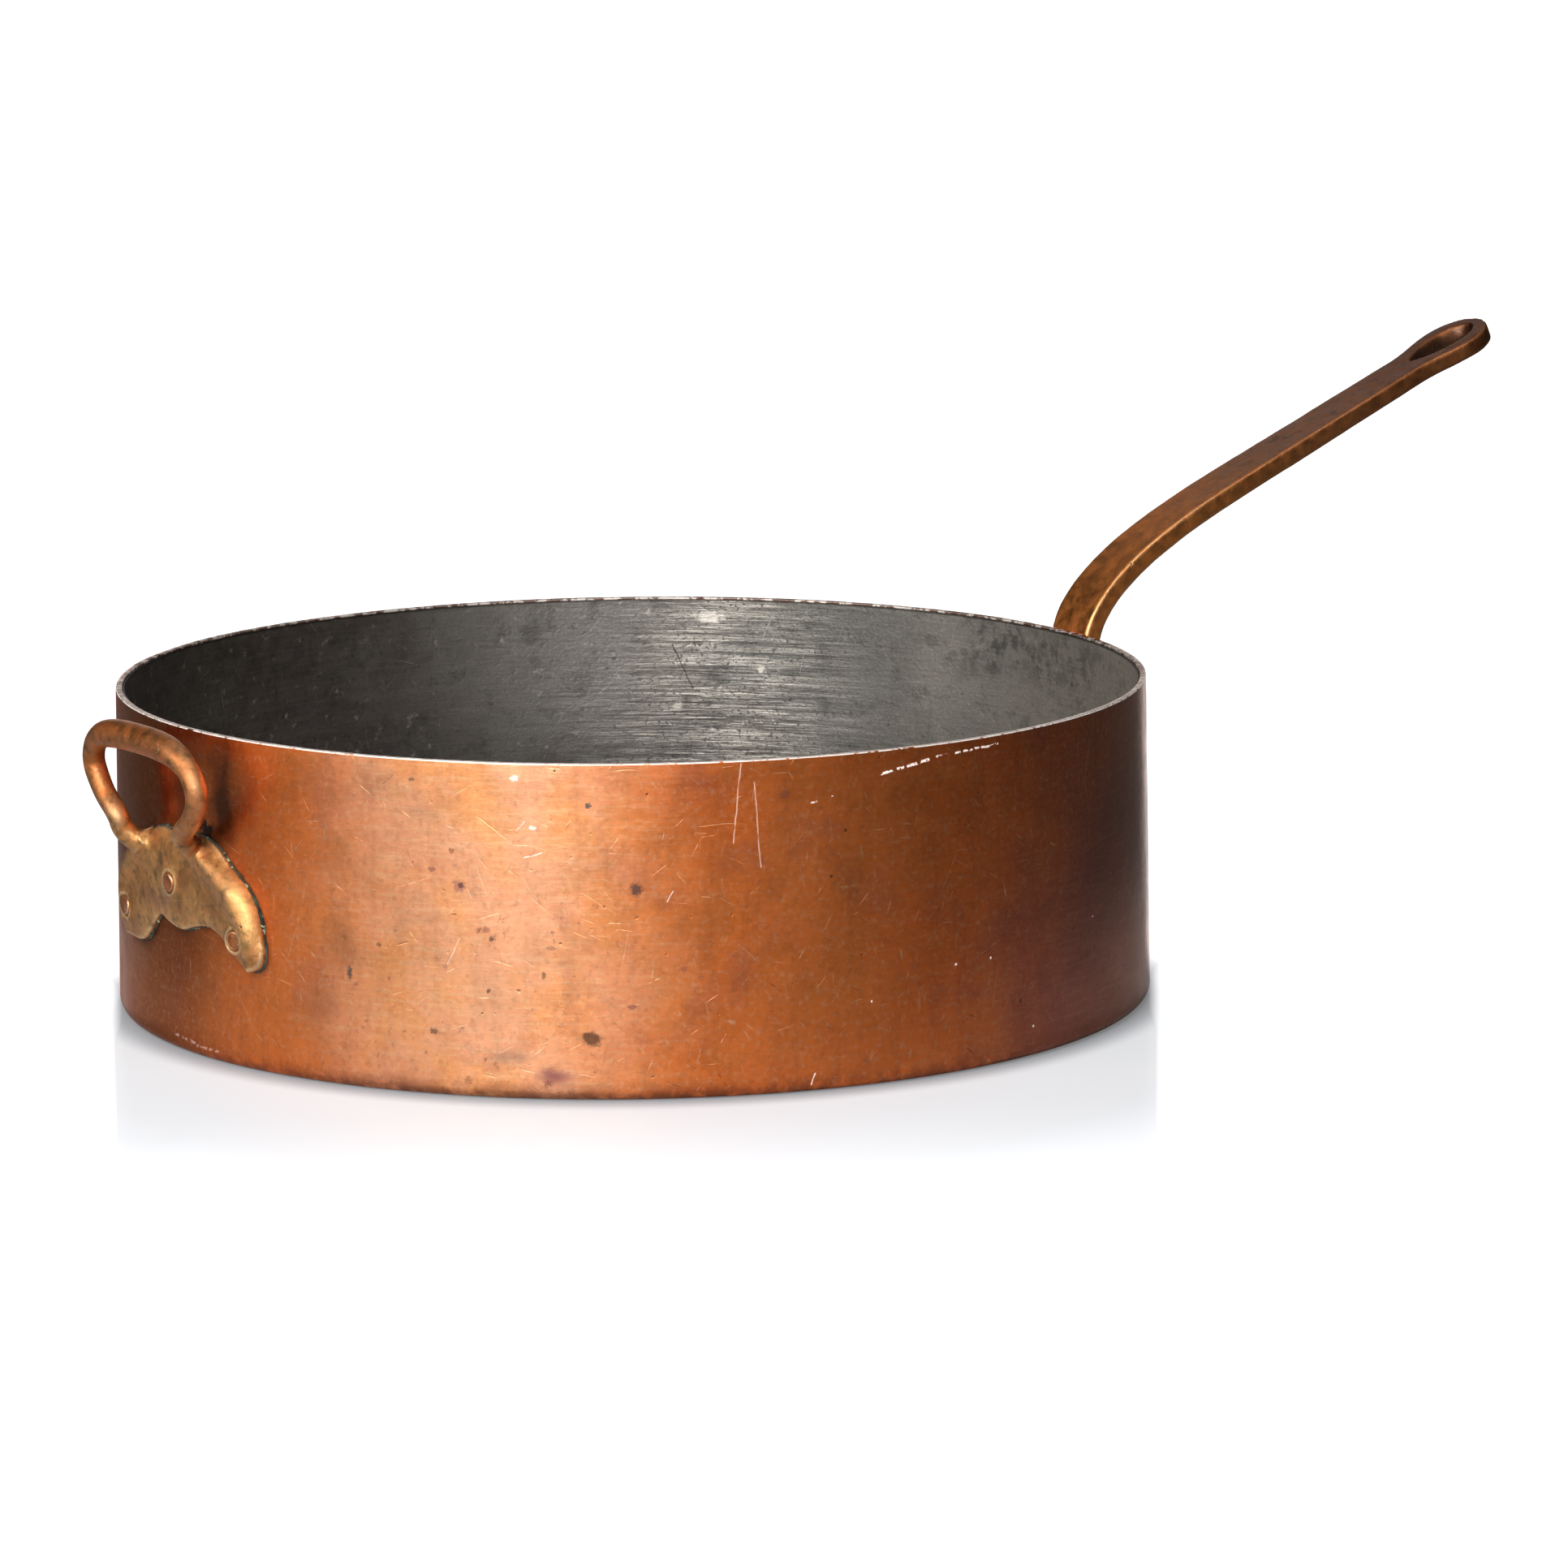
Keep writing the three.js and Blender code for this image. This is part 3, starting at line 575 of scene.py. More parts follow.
def makeBronze(name):
    own = castings[name]
    finish = Finish(name, bronze, {"Metallic": 1.0, "Coat Weight": 0.2, "Coat Roughness": 0.25})
    place, over = finish.place, finish.over
    x, y, height = place.parts()
    broad = blots(place, 22.0, 6.0, 0.35, 0.65)
    if own["golden"]:
        finish.tone = finish.blend(broad, "golden", "ochre")
        over(step(height, 0.086, 0.102), 0.9, "coppery")
    else:
        out = x + noise(place, 25.0) * 0.03
        finish.tone = finish.blend(broad, "ochre", "coppery")
        over(step(out, 0.24, 0.33), 0.8, "umber")
        over(step(out, 0.34, 0.43), 0.75, "brown")
    mottled = blots(place, 260.0, 8.0, 0.48, 0.68)
    over(blots(place, 90.0, 8.0, 0.42, 0.7), 0.5, "umber")
    over(mottled, own["green"], "green")
    over(blots(mapped(place, shift=(0.5, 0.1, 0.6)), 150.0, 8.0, 0.52, 0.7), 0.45, "dark")
    if own["golden"]:
        # Painted shade in the hollow where the loop's right leg meets the plate
        legRootShade = stainAt(place, roundThePan(-53.0, 0.2175, 0.0895), 0.0105, 0.0065, 0.9, 300.0, 0.2)
        over(legRootShade, 0.85, "dark")
    else:
        over(step(out, 0.25, 0.325, 1.0, 0.0), 0.95, "amber")
        # Painted light: the grip's sideways faces are made lighter
        over(finish.attribute("flank") * step(out, 0.28, 0.42, 0.7, 0.3), 1.0, "amber")
    bulge = finish.attribute("bulge")
    hollow = step(bulge, 0.5, 0.36)
    over(hollow, 0.6, "dark")
    wearAndSheen = step(bulge, *own["high"]) * step(mottled, 0.0, 1.0, 1.0, 0.3)
    if not own["golden"]:
        wearAndSheen = wearAndSheen * step(x, 0.24, 0.31, 1.0, 0.0)
    over(wearAndSheen, own["wornAndLit"], "wornAndLit")
    holes = spots(place, 170.0, 0.0008, 0.16)
    over(holes, 0.85, "dark")
    over(cuts(place, 110.0, 0.0001, 0.009, 0.6), 0.4, "wornAndLit")
    # Painted shade inside the hanging eye of the long handle
    over(finish.attribute("grimeAndShade"), 0.75, "dark")
    rough = step(noise(place, 160.0, 6.0), 0.3, 0.7, *own["rough"]) + hollow * 0.2
    return finish.done(rough, noise(place, 300.0, 6.0, 0.65) * 0.7 - holes * 0.6, 0.6, 0.0006)


# Rivet copper, and the crust along the plates

rivetCopper = {"face": (236, 146, 88), "dark": (140, 78, 48), "burr": (255, 232, 198)}
crustColours = {"black": (26, 24, 20), "brown": (66, 52, 34), "teal": (70, 92, 80), "pale": (176, 190, 160)}


def makeRivetCopper():
    finish = Finish("rivetCopper", rivetCopper, {"Metallic": 1.0, "Coat Weight": 0.1, "Coat Roughness": 0.3})
    place = finish.place
    finish.tone = finish.blend(blots(place, 260.0, 5.0, 0.45, 0.75) * 0.7, "face", "dark")
    uneven = step(blots(place, 500.0, 2.0, 0.4, 0.6), 0.0, 1.0, 0.4, 1.0)
    finish.over(finish.attribute("burr") * uneven, 1.0, "burr")
    rough = step(noise(place, 500.0), 0.3, 0.7, 0.28, 0.42)
    return finish.done(rough, noise(place, 420.0), 0.4, 0.0004)


def makeCrust():
    finish = Finish("verdigris", crustColours, {"Metallic": 0.0, "Specular IOR Level": 0.3})
    place = finish.place
    damp = blots(place, 120.0, 5.0, 0.4, 0.6)
    finish.tone = finish.blend(damp, "black", "brown")
    finish.over(blots(place, 70.0, 4.0, 0.48, 0.6), 0.4, "teal")
    finish.over(blots(place, 420.0, 3.0, 0.59, 0.65), 0.7, "pale")
    return finish.done(step(damp, 0.0, 1.0, 0.7, 0.95), noise(place, 1500.0), 0.6, 0.0004)


copperFinish, tinFinish = makeCopper(), makeTin()
helperBronze, handleBronze = makeBronze("goldenBronze"), makeBronze("brownBronze")
rivetFinish, crustFinish = makeRivetCopper(), makeCrust()
print("casserole: finishes made")


# Mesh helpers

def newPiece(name, points, faces, edges=()):
    mesh = bpy.data.meshes.new(name)
    mesh.from_pydata([tuple(point) for point in points], list(edges), [tuple(face) for face in faces])
    mesh.update()
    piece = bpy.data.objects.new(name, mesh)
    scene.collection.objects.link(piece)
    return piece


# A vector of every point: its place, "co", or its "normal"
def readVectors(mesh, what):
    flat = np.empty(len(mesh.vertices) * 3, np.float32)
    mesh.vertices.foreach_get(what, flat)
    return flat.reshape(-1, 3).astype(float)


def writePoints(mesh, points):
    mesh.vertices.foreach_set("co", points.astype(np.float32).ravel())
    mesh.update()


def writeAttribute(mesh, name, values):
    mesh.attributes.new(name, "FLOAT", "POINT").data.foreach_set("value", np.asarray(values, np.float32))


# What the modifiers make becomes the piece's own mesh
def baked(piece):
    bpy.context.view_layer.update()
    mesh = bpy.data.meshes.new_from_object(piece.evaluated_get(bpy.context.evaluated_depsgraph_get()))
    mesh.name = piece.name
    piece.modifiers.clear()
    piece.data = mesh
    return piece


def finished(piece, slotName, *replaced):
    mesh = piece.data
    mesh.polygons.foreach_set("use_smooth", [True] * len(mesh.polygons))
    mesh.update()
    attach(piece, "root")
    if replaced:
        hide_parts(*replaced)
    print("casserole:", piece.name, len(mesh.polygons), "faces")


# Studio

studio = {
    "room": 0.02,            # brightness of the dim room round the camera
    "ceiling": 0.25,         # pale ceiling over it
    "backdrop": 1.0,         # white sweep behind the pan, low down
    "upperBackdrop": 0.24,
    "floorReach": 6.0,
    "floorLevel": -0.0003,
    "floorWhite": 0.8,
    "floorSeen": 0.3,        # the same floor towards the camera, under its own white
    "floorNear": 0.42,       # the same floor in reflections, by the pan and away from it
    "floorDim": 0.14,
    "floorLift": 0.59,       # the floor's own white towards the camera
    "floorTint": (0.92, 1.0, 1.1),    # against the warm light from the copper
}

# Each lamp's side in degrees round the pan, distance, height, width, tallness and power
softboxes = {
    "key": (-24, 1.7, 0.75, 0.8, 1.1, 17.5),
    "keyLeft": (-52, 1.7, 0.78, 0.9, 1.1, 10.5),
    "keyRight": (-4, 1.7, 0.75, 0.9, 1.1, 11.0),
    "farLeft": (-78, 1.7, 0.65, 0.9, 1.1, 3.4),
    "right": (26, 1.7, 0.62, 0.9, 1.1, 2.0),
    "top": (160, 0.5, 2.0, 1.6, 1.6, 2.0),
    "overhead": (10, 0.9, 2.3, 1.2, 0.8, 9.0),
    "back": (180, 3.2, 3.0, 0.3, 1.0, 90.0),
}
floorLamp = "back"    # this one lights the floor alone, with no reflection of its own


def raysOf(tree):
    rays = tree.nodes.new("ShaderNodeLightPath").outputs
    return Field(rays["Is Camera Ray"]), Field(rays["Is Glossy Ray"])


def makeWorld():
    world = bpy.data.worlds.new("studio")
    scene.world = world
    world.use_nodes = True
    background = world.node_tree.nodes["Background"].inputs
    direction = Field(world.node_tree.nodes.new("ShaderNodeTexCoord").outputs["Generated"])
    facing = dot((direction * (1, 1, 0)).calc("NORMALIZE"), roundThePan(180, 1.0))
    rise = direction.parts()[2]
    fading = step(rise, 0.2, 0.32, studio["backdrop"], studio["upperBackdrop"])
    behind = step(facing, 0.95, 0.985) * (fading * step(rise, 0.5, 0.7, 1.0, 0.0))
    glow = behind + step(rise, 0.45, 0.85, studio["room"], studio["ceiling"])
    feed(most(glow, raysOf(world.node_tree)[0]), background["Strength"])
    feed((1, 1, 1, 1), background["Color"])


def makeSoftbox(name, side, distance, height, width, tall, power):
    data = bpy.data.lights.new(name, "AREA")
    data.shape, data.size, data.size_y, data.energy = "RECTANGLE", width, tall, power
    light = bpy.data.objects.new(name, data)
    scene.collection.objects.link(light)
    light.location = roundThePan(side, distance, height)
    aim = Vector((0, 0, 0.05)) - light.location
    light.rotation_mode = "QUATERNION"
    light.rotation_quaternion = aim.to_track_quat("-Z", "Y")
    light.visible_camera = False
    light.visible_glossy = name != floorLamp


def makeFloor():
    reach, level, white = studio["floorReach"], studio["floorLevel"], studio["floorWhite"]
    corners = [(x, y, level) for x, y in ((-reach, -reach), (reach, -reach), (reach, reach), (-reach, reach))]
    floor = newPiece("floor", corners, [(0, 1, 2, 3)])
    finish = Finish("paleFloor", {}, {
        "Metallic": 0.0, "Roughness": 0.6, "Specular IOR Level": 0.0,
        "Coat Weight": 0.15, "Coat Roughness": 0.16, "Emission Color": (1, 1, 1, 1),
    })
    place = finish.place
    distance = lengthOf(place)
    right, away = (dot(place, roundThePan(turn, 1.0)) for turn in (90, 180))
    camera, glossy = raysOf(finish.tree)

    # Darker in reflections and under its own white
    dimmed = step(distance, 0.22, 0.5, studio["floorNear"], studio["floorDim"])
    pale = glossy * (dimmed - white) + white - camera * (white - studio["floorSeen"])
    tinted = [pale * share for share in studio["floorTint"]]
    colours = pale.node("ShaderNodeCombineColor", dict(enumerate(tinted)))

    # Behind the right end of the pan, the white that its side mirrors
    sweep = step(right - away * 0.33, 0.203, 0.221, 1.0, 0.0) * step(away, 0.0, 0.06)
    sweep = sweep * step(right, 0.05, 0.12)

    # White towards the camera, but for the contact shadow and the pan's mirror image
    lift = most(step(away, -0.47, -0.21, 1.0, studio["floorLift"]), step(away, -0.1, 0.05))
    lift = lift * step(distance, 0.2105, 0.228, 0.3, 1.0)
    across = right.calc("ABSOLUTE") / (away + photoCamera["back"])
    lift = most(lift, step(across, 0.0708, 0.0742))
    finish.set({"Base Color": colours, "Emission Strength": camera * lift + glossy * sweep})
    floor.data.materials.append(finish.material)


makeWorld()
makeFloor()
for name, values in softboxes.items():
    makeSoftbox(name, *values)
print("casserole: studio set up")


# Geometry Nodes trees. Each ends with real geometry that carries its finish

def newShape(name, draw, labels, **start):
    inputs = start | dict.fromkeys(labels, "Float") | {"Finish": "Material"}
    given, result = newGroup(name, inputs, "Geometry", "Geometry", "GeometryNodeTree")
    place = given["Finish"].node("GeometryNodeInputPosition", {})
    real = place.node("GeometryNodeRealizeInstances", {0: draw(place, given)})
    feed(real.node("GeometryNodeSetMaterial", {"Geometry": real, "Material": given["Finish"]}), result)
    return result.id_data


def giveTree(piece, tree, values):
    modifier = piece.modifiers.new(tree.name, "NODES")
    modifier.node_group = tree
    for item in tree.interface.items_tree:
        if item.in_out == "INPUT" and item.name in values:
            modifier[item.identifier] = values[item.name]
    return baked(piece)


def moved(geometry, offset):
    return geometry.node("GeometryNodeSetPosition", {"Geometry": geometry, "Offset": offset})


# Weathered skin: waves, grain and pits along the normals
def drawSkin(place, given):
    def swell(kind):
        waves = seededNoise(place, given["Seed"], 1.0 / given[kind + " Size"], 3.0)
        return (waves - 0.5) * given[kind + " Height"]

    values = {"Vector": place, "W": given["Seed"], "Scale": 0.2 / given["Pit Size"]}
    cells = addNode(place.tree, "ShaderNodeTexVoronoi", values, voronoi_dimensions="4D").outputs
    kept = Field(cells["Color"]).parts()[0].calc("LESS_THAN", given["Pit Share"])
    dent = step(Field(cells["Distance"]), 0.0, 0.3, 1.0, 0.0) * kept
    normal = place.node("GeometryNodeInputNormal", {})
    return moved(given["Geometry"], normal.scaled(swell("Wave") + swell("Grain") - dent * given["Pit Depth"]))


noPits = {"Grain Height": 0.0, "Grain Size": 0.004, "Pit Depth": 0.0, "Pit Size": 0.004, "Pit Share": 0.0}
skins = {
    "pan": {"Wave Height": 0.0004, "Wave Size": 0.05, "Seed": 3.0, **noPits},
    "tin": {"Wave Height": 0.0002, "Wave Size": 0.04, "Seed": 8.0, **noPits},
    "casting": {"Wave Height": 0.0005, "Wave Size": 0.012, "Grain Height": 0.00012, "Grain Size": 0.0016,
                "Pit Depth": 0.00035, "Pit Size": 0.0012, "Pit Share": 0.06, "Seed": 5.0},
}
weatheredSkin = newShape("weatheredSkin", drawSkin, skins["casting"], Geometry="Geometry")


# A closed skin over rings of points, with a fan over each end
def loft(rings):
    rings = np.asarray(rings)
    count, around = rings.shape[:2]
    points = np.vstack([rings.reshape(-1, 3), rings[0].mean(0), rings[-1].mean(0)])
    j = np.arange(around)
    k = (j + 1) % around
    last = (count - 1) * around
    faces = []
    for a in range(0, last, around):
        faces += np.stack([a + j, a + k, a + around + k, a + around + j], 1).tolist()
    faces += np.stack([k, j, np.full(around, count * around)], 1).tolist()
    faces += np.stack([last + j, last + k, np.full(around, count * around + 1)], 1).tolist()
    return points, faces


# A closed skin from a profile of radius and height, turned about the upright axis
def lathe(name, profile):
    turn = np.arange(pan["segments"]) * 2 * math.pi / pan["segments"]
    rings = [np.stack([r * np.cos(turn), r * np.sin(turn), 0 * turn + z], 1) for r, z in profile[1:-1]]
    points, faces = loft(rings)
    return newPiece(name, points * millimetre, faces)


def arcPoints(centre, radius, start, end, steps):
    turns = np.radians(np.linspace(start, end, steps + 1))
    return [(centre[0] + radius * math.cos(t), centre[1] + radius * math.sin(t)) for t in turns]


def outsideRows(top):
    foot = pan["footRadius"]
    middle = wallRadius(foot) - foot
    floor = [(r, 0.0) for r in np.linspace(0, middle, pan["floorRows"])[:-1]]
    heights = [*np.linspace(foot, top, pan["wallRows"])[1:-1], top - pan["rimRow"], top]
    corner = arcPoints((middle, foot), foot, -90, 0, pan["cornerRows"])
    return floor + corner + [(wallRadius(z), z) for z in heights]


def insideRows(offset, level, top):
    radius = max(pan["footRadius"] - offset, pan["leastRadius"])
    low = level + radius
    middle = wallRadius(low) - offset - radius
    heights = [top, top - pan["rimRow"], *np.linspace(top, low, pan["wallRows"])[1:-1]]
    floor = [(r, level) for r in np.linspace(middle, 0, pan["floorRows"])[1:]]
    walls = [(wallRadius(z) - offset, z) for z in heights]
    return walls + arcPoints((middle, low), radius, 0, -90, pan["cornerRows"]) + floor


def copperProfile():
    top, soft = pan["height"], pan["rimRound"]
    outer, inner = wallRadius(top) - soft, wallRadius(top) - pan["wall"] + soft
    rim = arcPoints((outer, top - soft), soft, 0, 90, 3) + arcPoints((inner, top - soft), soft, 90, 180, 3)
    return outsideRows(top - soft)[:-1] + rim + insideRows(pan["wall"], pan["base"], top - soft)[1:]


def tinProfile():
    offset, level = pan["wall"] + pan["tinGap"], pan["base"] + pan["tinGap"]
    top = pan["height"] - pan["tinDrop"]
    return insideRows(offset, level, top)[::-1] + insideRows(offset + pan["tin"], level + pan["tin"], top)


panShell = lathe("pan_shell", copperProfile())
panTin = lathe("pan_tin", tinProfile())


# Castings, from the same curves and sizes as the CAD, in finer steps

plate = {
    "web": 4.4, "webEdge": 1.9, "boss": 11.5, "bossHeight": 5.6, "ridgeWidth": 14.0, "ridgeHeight": 7.6,
    "drawnIn": 4.5, "spread": 43.5, "drop": 16.8, "seat": 0.12,
    "edgeSteps": 1200, "webSteps": 150, "webRows": 24, "bossSides": 40,
}

helper = {
    "turn": 182.8, "height": 69.0, "width": 84.6, "shift": -1.2, "rise": 59.2, "standOff": 8.0, "lean": 8.8,
    "topBar": 11.6, "sideBar": 9.0, "rootBar": 8.8, "rootSpread": 21.0, "rootHeight": 15.5, "leftWider": 6.0,
}

handle = {
    "height": 72.0, "leaveDrop": 8.5, "slope": 24.0, "bendReach": 90.9, "bendRise": 73.2, "rootPull": 32.5,
    "gripPull": 42.4, "straight": 132.5, "rootWidth": 27.6, "gripWidth": 23.2, "taper": 130.0,
    "thick": 8.0, "tipThick": 7.2, "corner": 1.3, "shoulder": 6.0, "eyeWidth": 33.2, "eyeFlare": 43.0,
    "holeWidth": 17.8, "holeBelly": 23.0, "holeRound": 11.5, "holeEndWall": 5.6, "holeDraft": (0.1, 1.9),
    "gap": 0.3, "aheadBy": 1.5, "steps": 240, "tipSteps": 24, "bendSteps": 400, "dropSteps": 24,
    "dropRound": 32, "edgeSteps": 5,
}


# Centripetal spline through points, at shares of the way from the first to the last
def splineAt(points, shares):
    ctrl = np.asarray(points, float)
    ends = np.vstack([2 * ctrl[0] - ctrl[1], ctrl, 2 * ctrl[-1] - ctrl[-2]])
    at = np.clip(np.asarray(shares, float) * (len(ctrl) - 1), 0, len(ctrl) - 1 - 1e-9)
    first = at.astype(int)
    t = (at - first)[:, None]
    p0, p1, p2, p3 = (ends[first + k] for k in range(4))
    gaps = (p1 - p0, p2 - p1, p3 - p2)
    d0, d1, d2 = (np.linalg.norm(gap, axis=1, keepdims=True) ** 0.5 for gap in gaps)
    d1 = np.where(d1 < 1e-4, 1.0, d1)
    d0, d2 = (np.where(d < 1e-4, d1, d) for d in (d0, d2))
    t1 = ((p1 - p0) / d0 - (p2 - p0) / (d0 + d1) + (p2 - p1) / d1) * d1
    t2 = ((p2 - p1) / d1 - (p3 - p1) / (d1 + d2) + (p3 - p2) / d2) * d1
    return p1 + t1 * t + (3 * (p2 - p1) - 2 * t1 - t2) * t ** 2 + (2 * (p1 - p2) + t1 + t2) * t ** 3


# A curve from the first of four places to the last, pulled by the two between
def bezier(pulls, count):
    t = np.linspace(0, 1, count)[:, None]
    shares = (1 - t) ** 3, 3 * (1 - t) ** 2 * t, 3 * (1 - t) * t ** 2, t ** 3
    return sum(share * pull for share, pull in zip(shares, pulls))


def lengthsAlong(line):
    return np.concatenate([[0], np.cumsum(np.linalg.norm(np.diff(line, axis=0), axis=1))])


# Places on a line at distances along it
def placesAlong(line, lengths, distances):
    return np.stack([np.interp(distances, lengths, line[:, axis]) for axis in range(line.shape[1])], -1)


def evenly(line, count):
    lengths = lengthsAlong(line)
    return placesAlong(line, lengths, np.linspace(0, lengths[-1], count))


def onWall(arc, z, rise):
    angle = np.asarray(arc) / pan["rimRadius"]
    radius = wallRadius(np.asarray(z)) + rise
    return np.stack([radius * np.cos(angle), radius * np.sin(angle), np.asarray(z) + 0 * angle], -1)


# Bat-wing web between its upper and lower edges, drawn with the middle rivet at [0, 0]
def webOf(middle):
    wing, drop = plate["spread"], -plate["drop"]
    leftTip, rightTip = (-wing - 3, drop - 12), (wing + 6, drop - 12.4)
    upper = [
        leftTip, (-wing - 8.5, drop - 9), (-wing - 10.5, drop - 3), (-wing - 7, drop + 9.4),
        (-wing + 3, 3.6), (-26, 14.5), (-14, 20), (0, 20), (14, 21), (29, 17.8), (wing - 1, 5.6),
        (wing + 9, drop + 10.4), (wing + 13.3, drop - 4.5), (wing + 11.4, drop - 10), rightTip,
    ]
    lower = [
        leftTip, (-wing + 6, drop - 12.8), (-31, drop - 11.5), (-25, drop - 8), (-19, drop - 2.4),
        (-13, drop + 1.4), (-6, drop - 0.4), (5, drop - 1.8), (15, drop + 0.9), (24, drop + 2),
        (31, drop - 0.2), (wing - 6.5, drop - 4.4), (wing - 1, drop - 8.6), rightTip,
    ]
    fine = np.linspace(0, 1, plate["edgeSteps"])
    top, bottom = (evenly(splineAt(edge, fine), plate["webSteps"] + 1)[1:-1] for edge in (upper, lower))
    share = np.linspace(0, 1, plate["webRows"] + 1)
    flat = top[:, None] * (1 - share[None, :, None]) + bottom[:, None] * share[None, :, None]
    crown = np.sqrt(np.maximum(np.sin(math.pi * share), 0))
    rise = plate["webEdge"] + (plate["web"] - plate["webEdge"]) * crown
    front, back = (onWall(flat[..., 0], flat[..., 1] + middle, out) for out in (rise[None], -pan["wall"]))
    return loft(np.concatenate([front, back[:, ::-1]], 1))


# An oval bar through stations of a point, a width and a depth
def barThrough(stations, sides=32, perStation=14):
    places, widths, depths = zip(*stations)
    shares = np.linspace(0, 1, (len(stations) - 1) * perStation + 1)
    middle, size = splineAt(places, shares), splineAt(np.stack([widths, depths], 1), shares)
    along = splineAt(places, np.minimum(shares + 1e-4, 1)) - splineAt(places, np.maximum(shares - 1e-4, 0))
    along /= np.linalg.norm(along, axis=1, keepdims=True)
    deep = np.array([1.0, 0, 0]) - along * along[:, :1]
    deep /= np.linalg.norm(deep, axis=1, keepdims=True)
    turn = np.linspace(0, 2 * math.pi, sides, endpoint=False)[None, :, None]
    wide = np.cross(along, deep)[:, None] * (size[:, None, :1] / 2) * np.cos(turn)
    return loft(middle[:, None] + wide + deep[:, None] * (size[:, None, 1:] / 2) * np.sin(turn))


def mirroredStations(stations):
    return [(place * np.array([1, -1, 1]), width, depth) for place, width, depth in stations]


def ridgesOf(middle, more=()):
    wing, drop, wide, deep = plate["spread"], -plate["drop"], plate["ridgeWidth"], 2 * plate["ridgeHeight"]

    def stations(drawnIn):
        rows = [
            (wing + 5.6 - drawnIn, drop - 10.6, wide - 6, deep - 9),
            (wing + 6 - drawnIn / 2, drop - 6, wide - 3, deep - 3.6),
            (wing + 5.5 - drawnIn / 4, drop + 4, wide - 1, deep - 1),
            (wing + 0.5, -3, wide, deep), (36, 4.4, wide - 1, deep), (28, 10, wide - 3, deep),
            (helper["rootSpread"], helper["rootHeight"] - 1, wide - 5, deep),
        ]
        return [(onWall(arc, middle + z, 0), width, depth) for arc, z, width, depth in rows] + list(more)

    return [barThrough(stations(0)), barThrough(mirroredStations(stations(plate["drawnIn"])))]


def rivetPlaces(middle):
    wing = plate["spread"] / pan["rimRadius"]
    return [(0.0, middle), (wing, middle - plate["drop"]), (-wing, middle - plate["drop"])]


# Bosses that the rivets come up through, with worn shoulders
def bossesOf(middle):
    made = []
    turn = np.linspace(0, 2 * math.pi, plate["bossSides"], endpoint=False)
    for angle, z in rivetPlaces(middle):
        surface, radius = wallRadius(z), plate["boss"] / 2
        crest = surface + plate["bossHeight"]
        rows = [(surface - pan["wall"], radius + 1), (crest - 1.4, radius + 0.6), (crest - 0.4, radius),
                (crest, radius - 0.6), (crest - 0.1, radius - 1.1), (crest - 0.8, radius - 1.9)]
        across, up = np.cos(turn), np.sin(turn)
        rings = [np.stack([0 * turn + out, wide * across, z + wide * up], 1) for out, wide in rows]
        made.append(loft(np.array(rings) @ np.array(Matrix.Rotation(angle, 3, "Z")).T))
    return made


def helperSide(widen, shoulder):
    root = helper["height"] + helper["rootHeight"]
    bar, side, top = helper["rootBar"], helper["sideBar"], helper["topBar"]
    spread = helper["rootSpread"] + widen
    stations = [
        (onWall(spread - 3.2, root - 2 - widen / 2, bar / 2 - 2.4 + widen / 3), bar + 1, bar),
        (onWall(spread + 0.4, root + 3.6 - widen / 3, bar / 2 + 4.2 + widen / 3), bar + 0.6, bar),
    ]
    lean = math.radians(helper["lean"])
    bends = [    # share of half the width, share of the rise, bar, share of the widening
        (0.58, 0.393, bar, 0.8), (0.81, 0.52, bar, 0.4), (0.97, 0.647, side, 0), (1, 0.756, side, 0),
        (0.92, 0.864, side, 0), (0.74, 0.946, shoulder, 0), (0.48, 0.986, top, 0), (0, 1, top, 0),
    ]
    for across, share, size, wider in bends:
        out = pan["rimRadius"] + helper["standOff"] + share * helper["rise"] * math.sin(lean)
        up = helper["height"] + share * helper["rise"] * math.cos(lean)
        stations.append((np.array([out, across * helper["width"] / 2 + widen * wider, up]), size, size))
    return stations


# The side to the left in the photograph spreads its foot a little wider
def helperLoop():
    shoulder = (helper["topBar"] + helper["sideBar"]) / 2
    right, left = helperSide(0, shoulder), mirroredStations(helperSide(helper["leftWider"], shoulder))
    points, faces = barThrough(right + left[:-1][::-1])
    return points + np.array([0, helper["shift"], 0]), faces


def smoothShare(value, low, high):
    t = min(max((value - low) / (high - low), 0), 1)
    return t * t * (3 - 2 * t)


def mixed(first, second, share):
    return first + (second - first) * share


# Inner face of the long handle, up the wall, round the bend and out along the grip
def handlePath():
    slope = math.radians(handle["slope"])
    out = np.array([math.cos(slope), 0, math.sin(slope)])
    levels = (handle["height"] - plate["boss"] / 2, pan["height"] - handle["leaveDrop"])
    foot, leave = (np.array([wallRadius(z) + handle["gap"], 0, z]) for z in levels)
    bendEnd = leave + np.array([handle["bendReach"], 0, handle["bendRise"]])
    pulls = [leave, leave + np.array([0, 0, handle["rootPull"]]), bendEnd - out * handle["gripPull"], bendEnd]
    bend = bezier(pulls, handle["bendSteps"])
    return np.vstack([foot, bend, bendEnd + out * handle["straight"]]), bendEnd, out


def handleWidth(fromTip):
    radius = handle["eyeWidth"] / 2
    if fromTip < radius:
        return 2 * math.sqrt(max(radius ** 2 - (radius - fromTip) ** 2, 0.04))
    taper = smoothShare(fromTip, handle["straight"] - handle["taper"], handle["straight"] + handle["taper"])
    flare = smoothShare(fromTip, radius, handle["eyeFlare"])
    return mixed(handle["eyeWidth"], mixed(handle["gripWidth"], handle["rootWidth"], taper), flare)


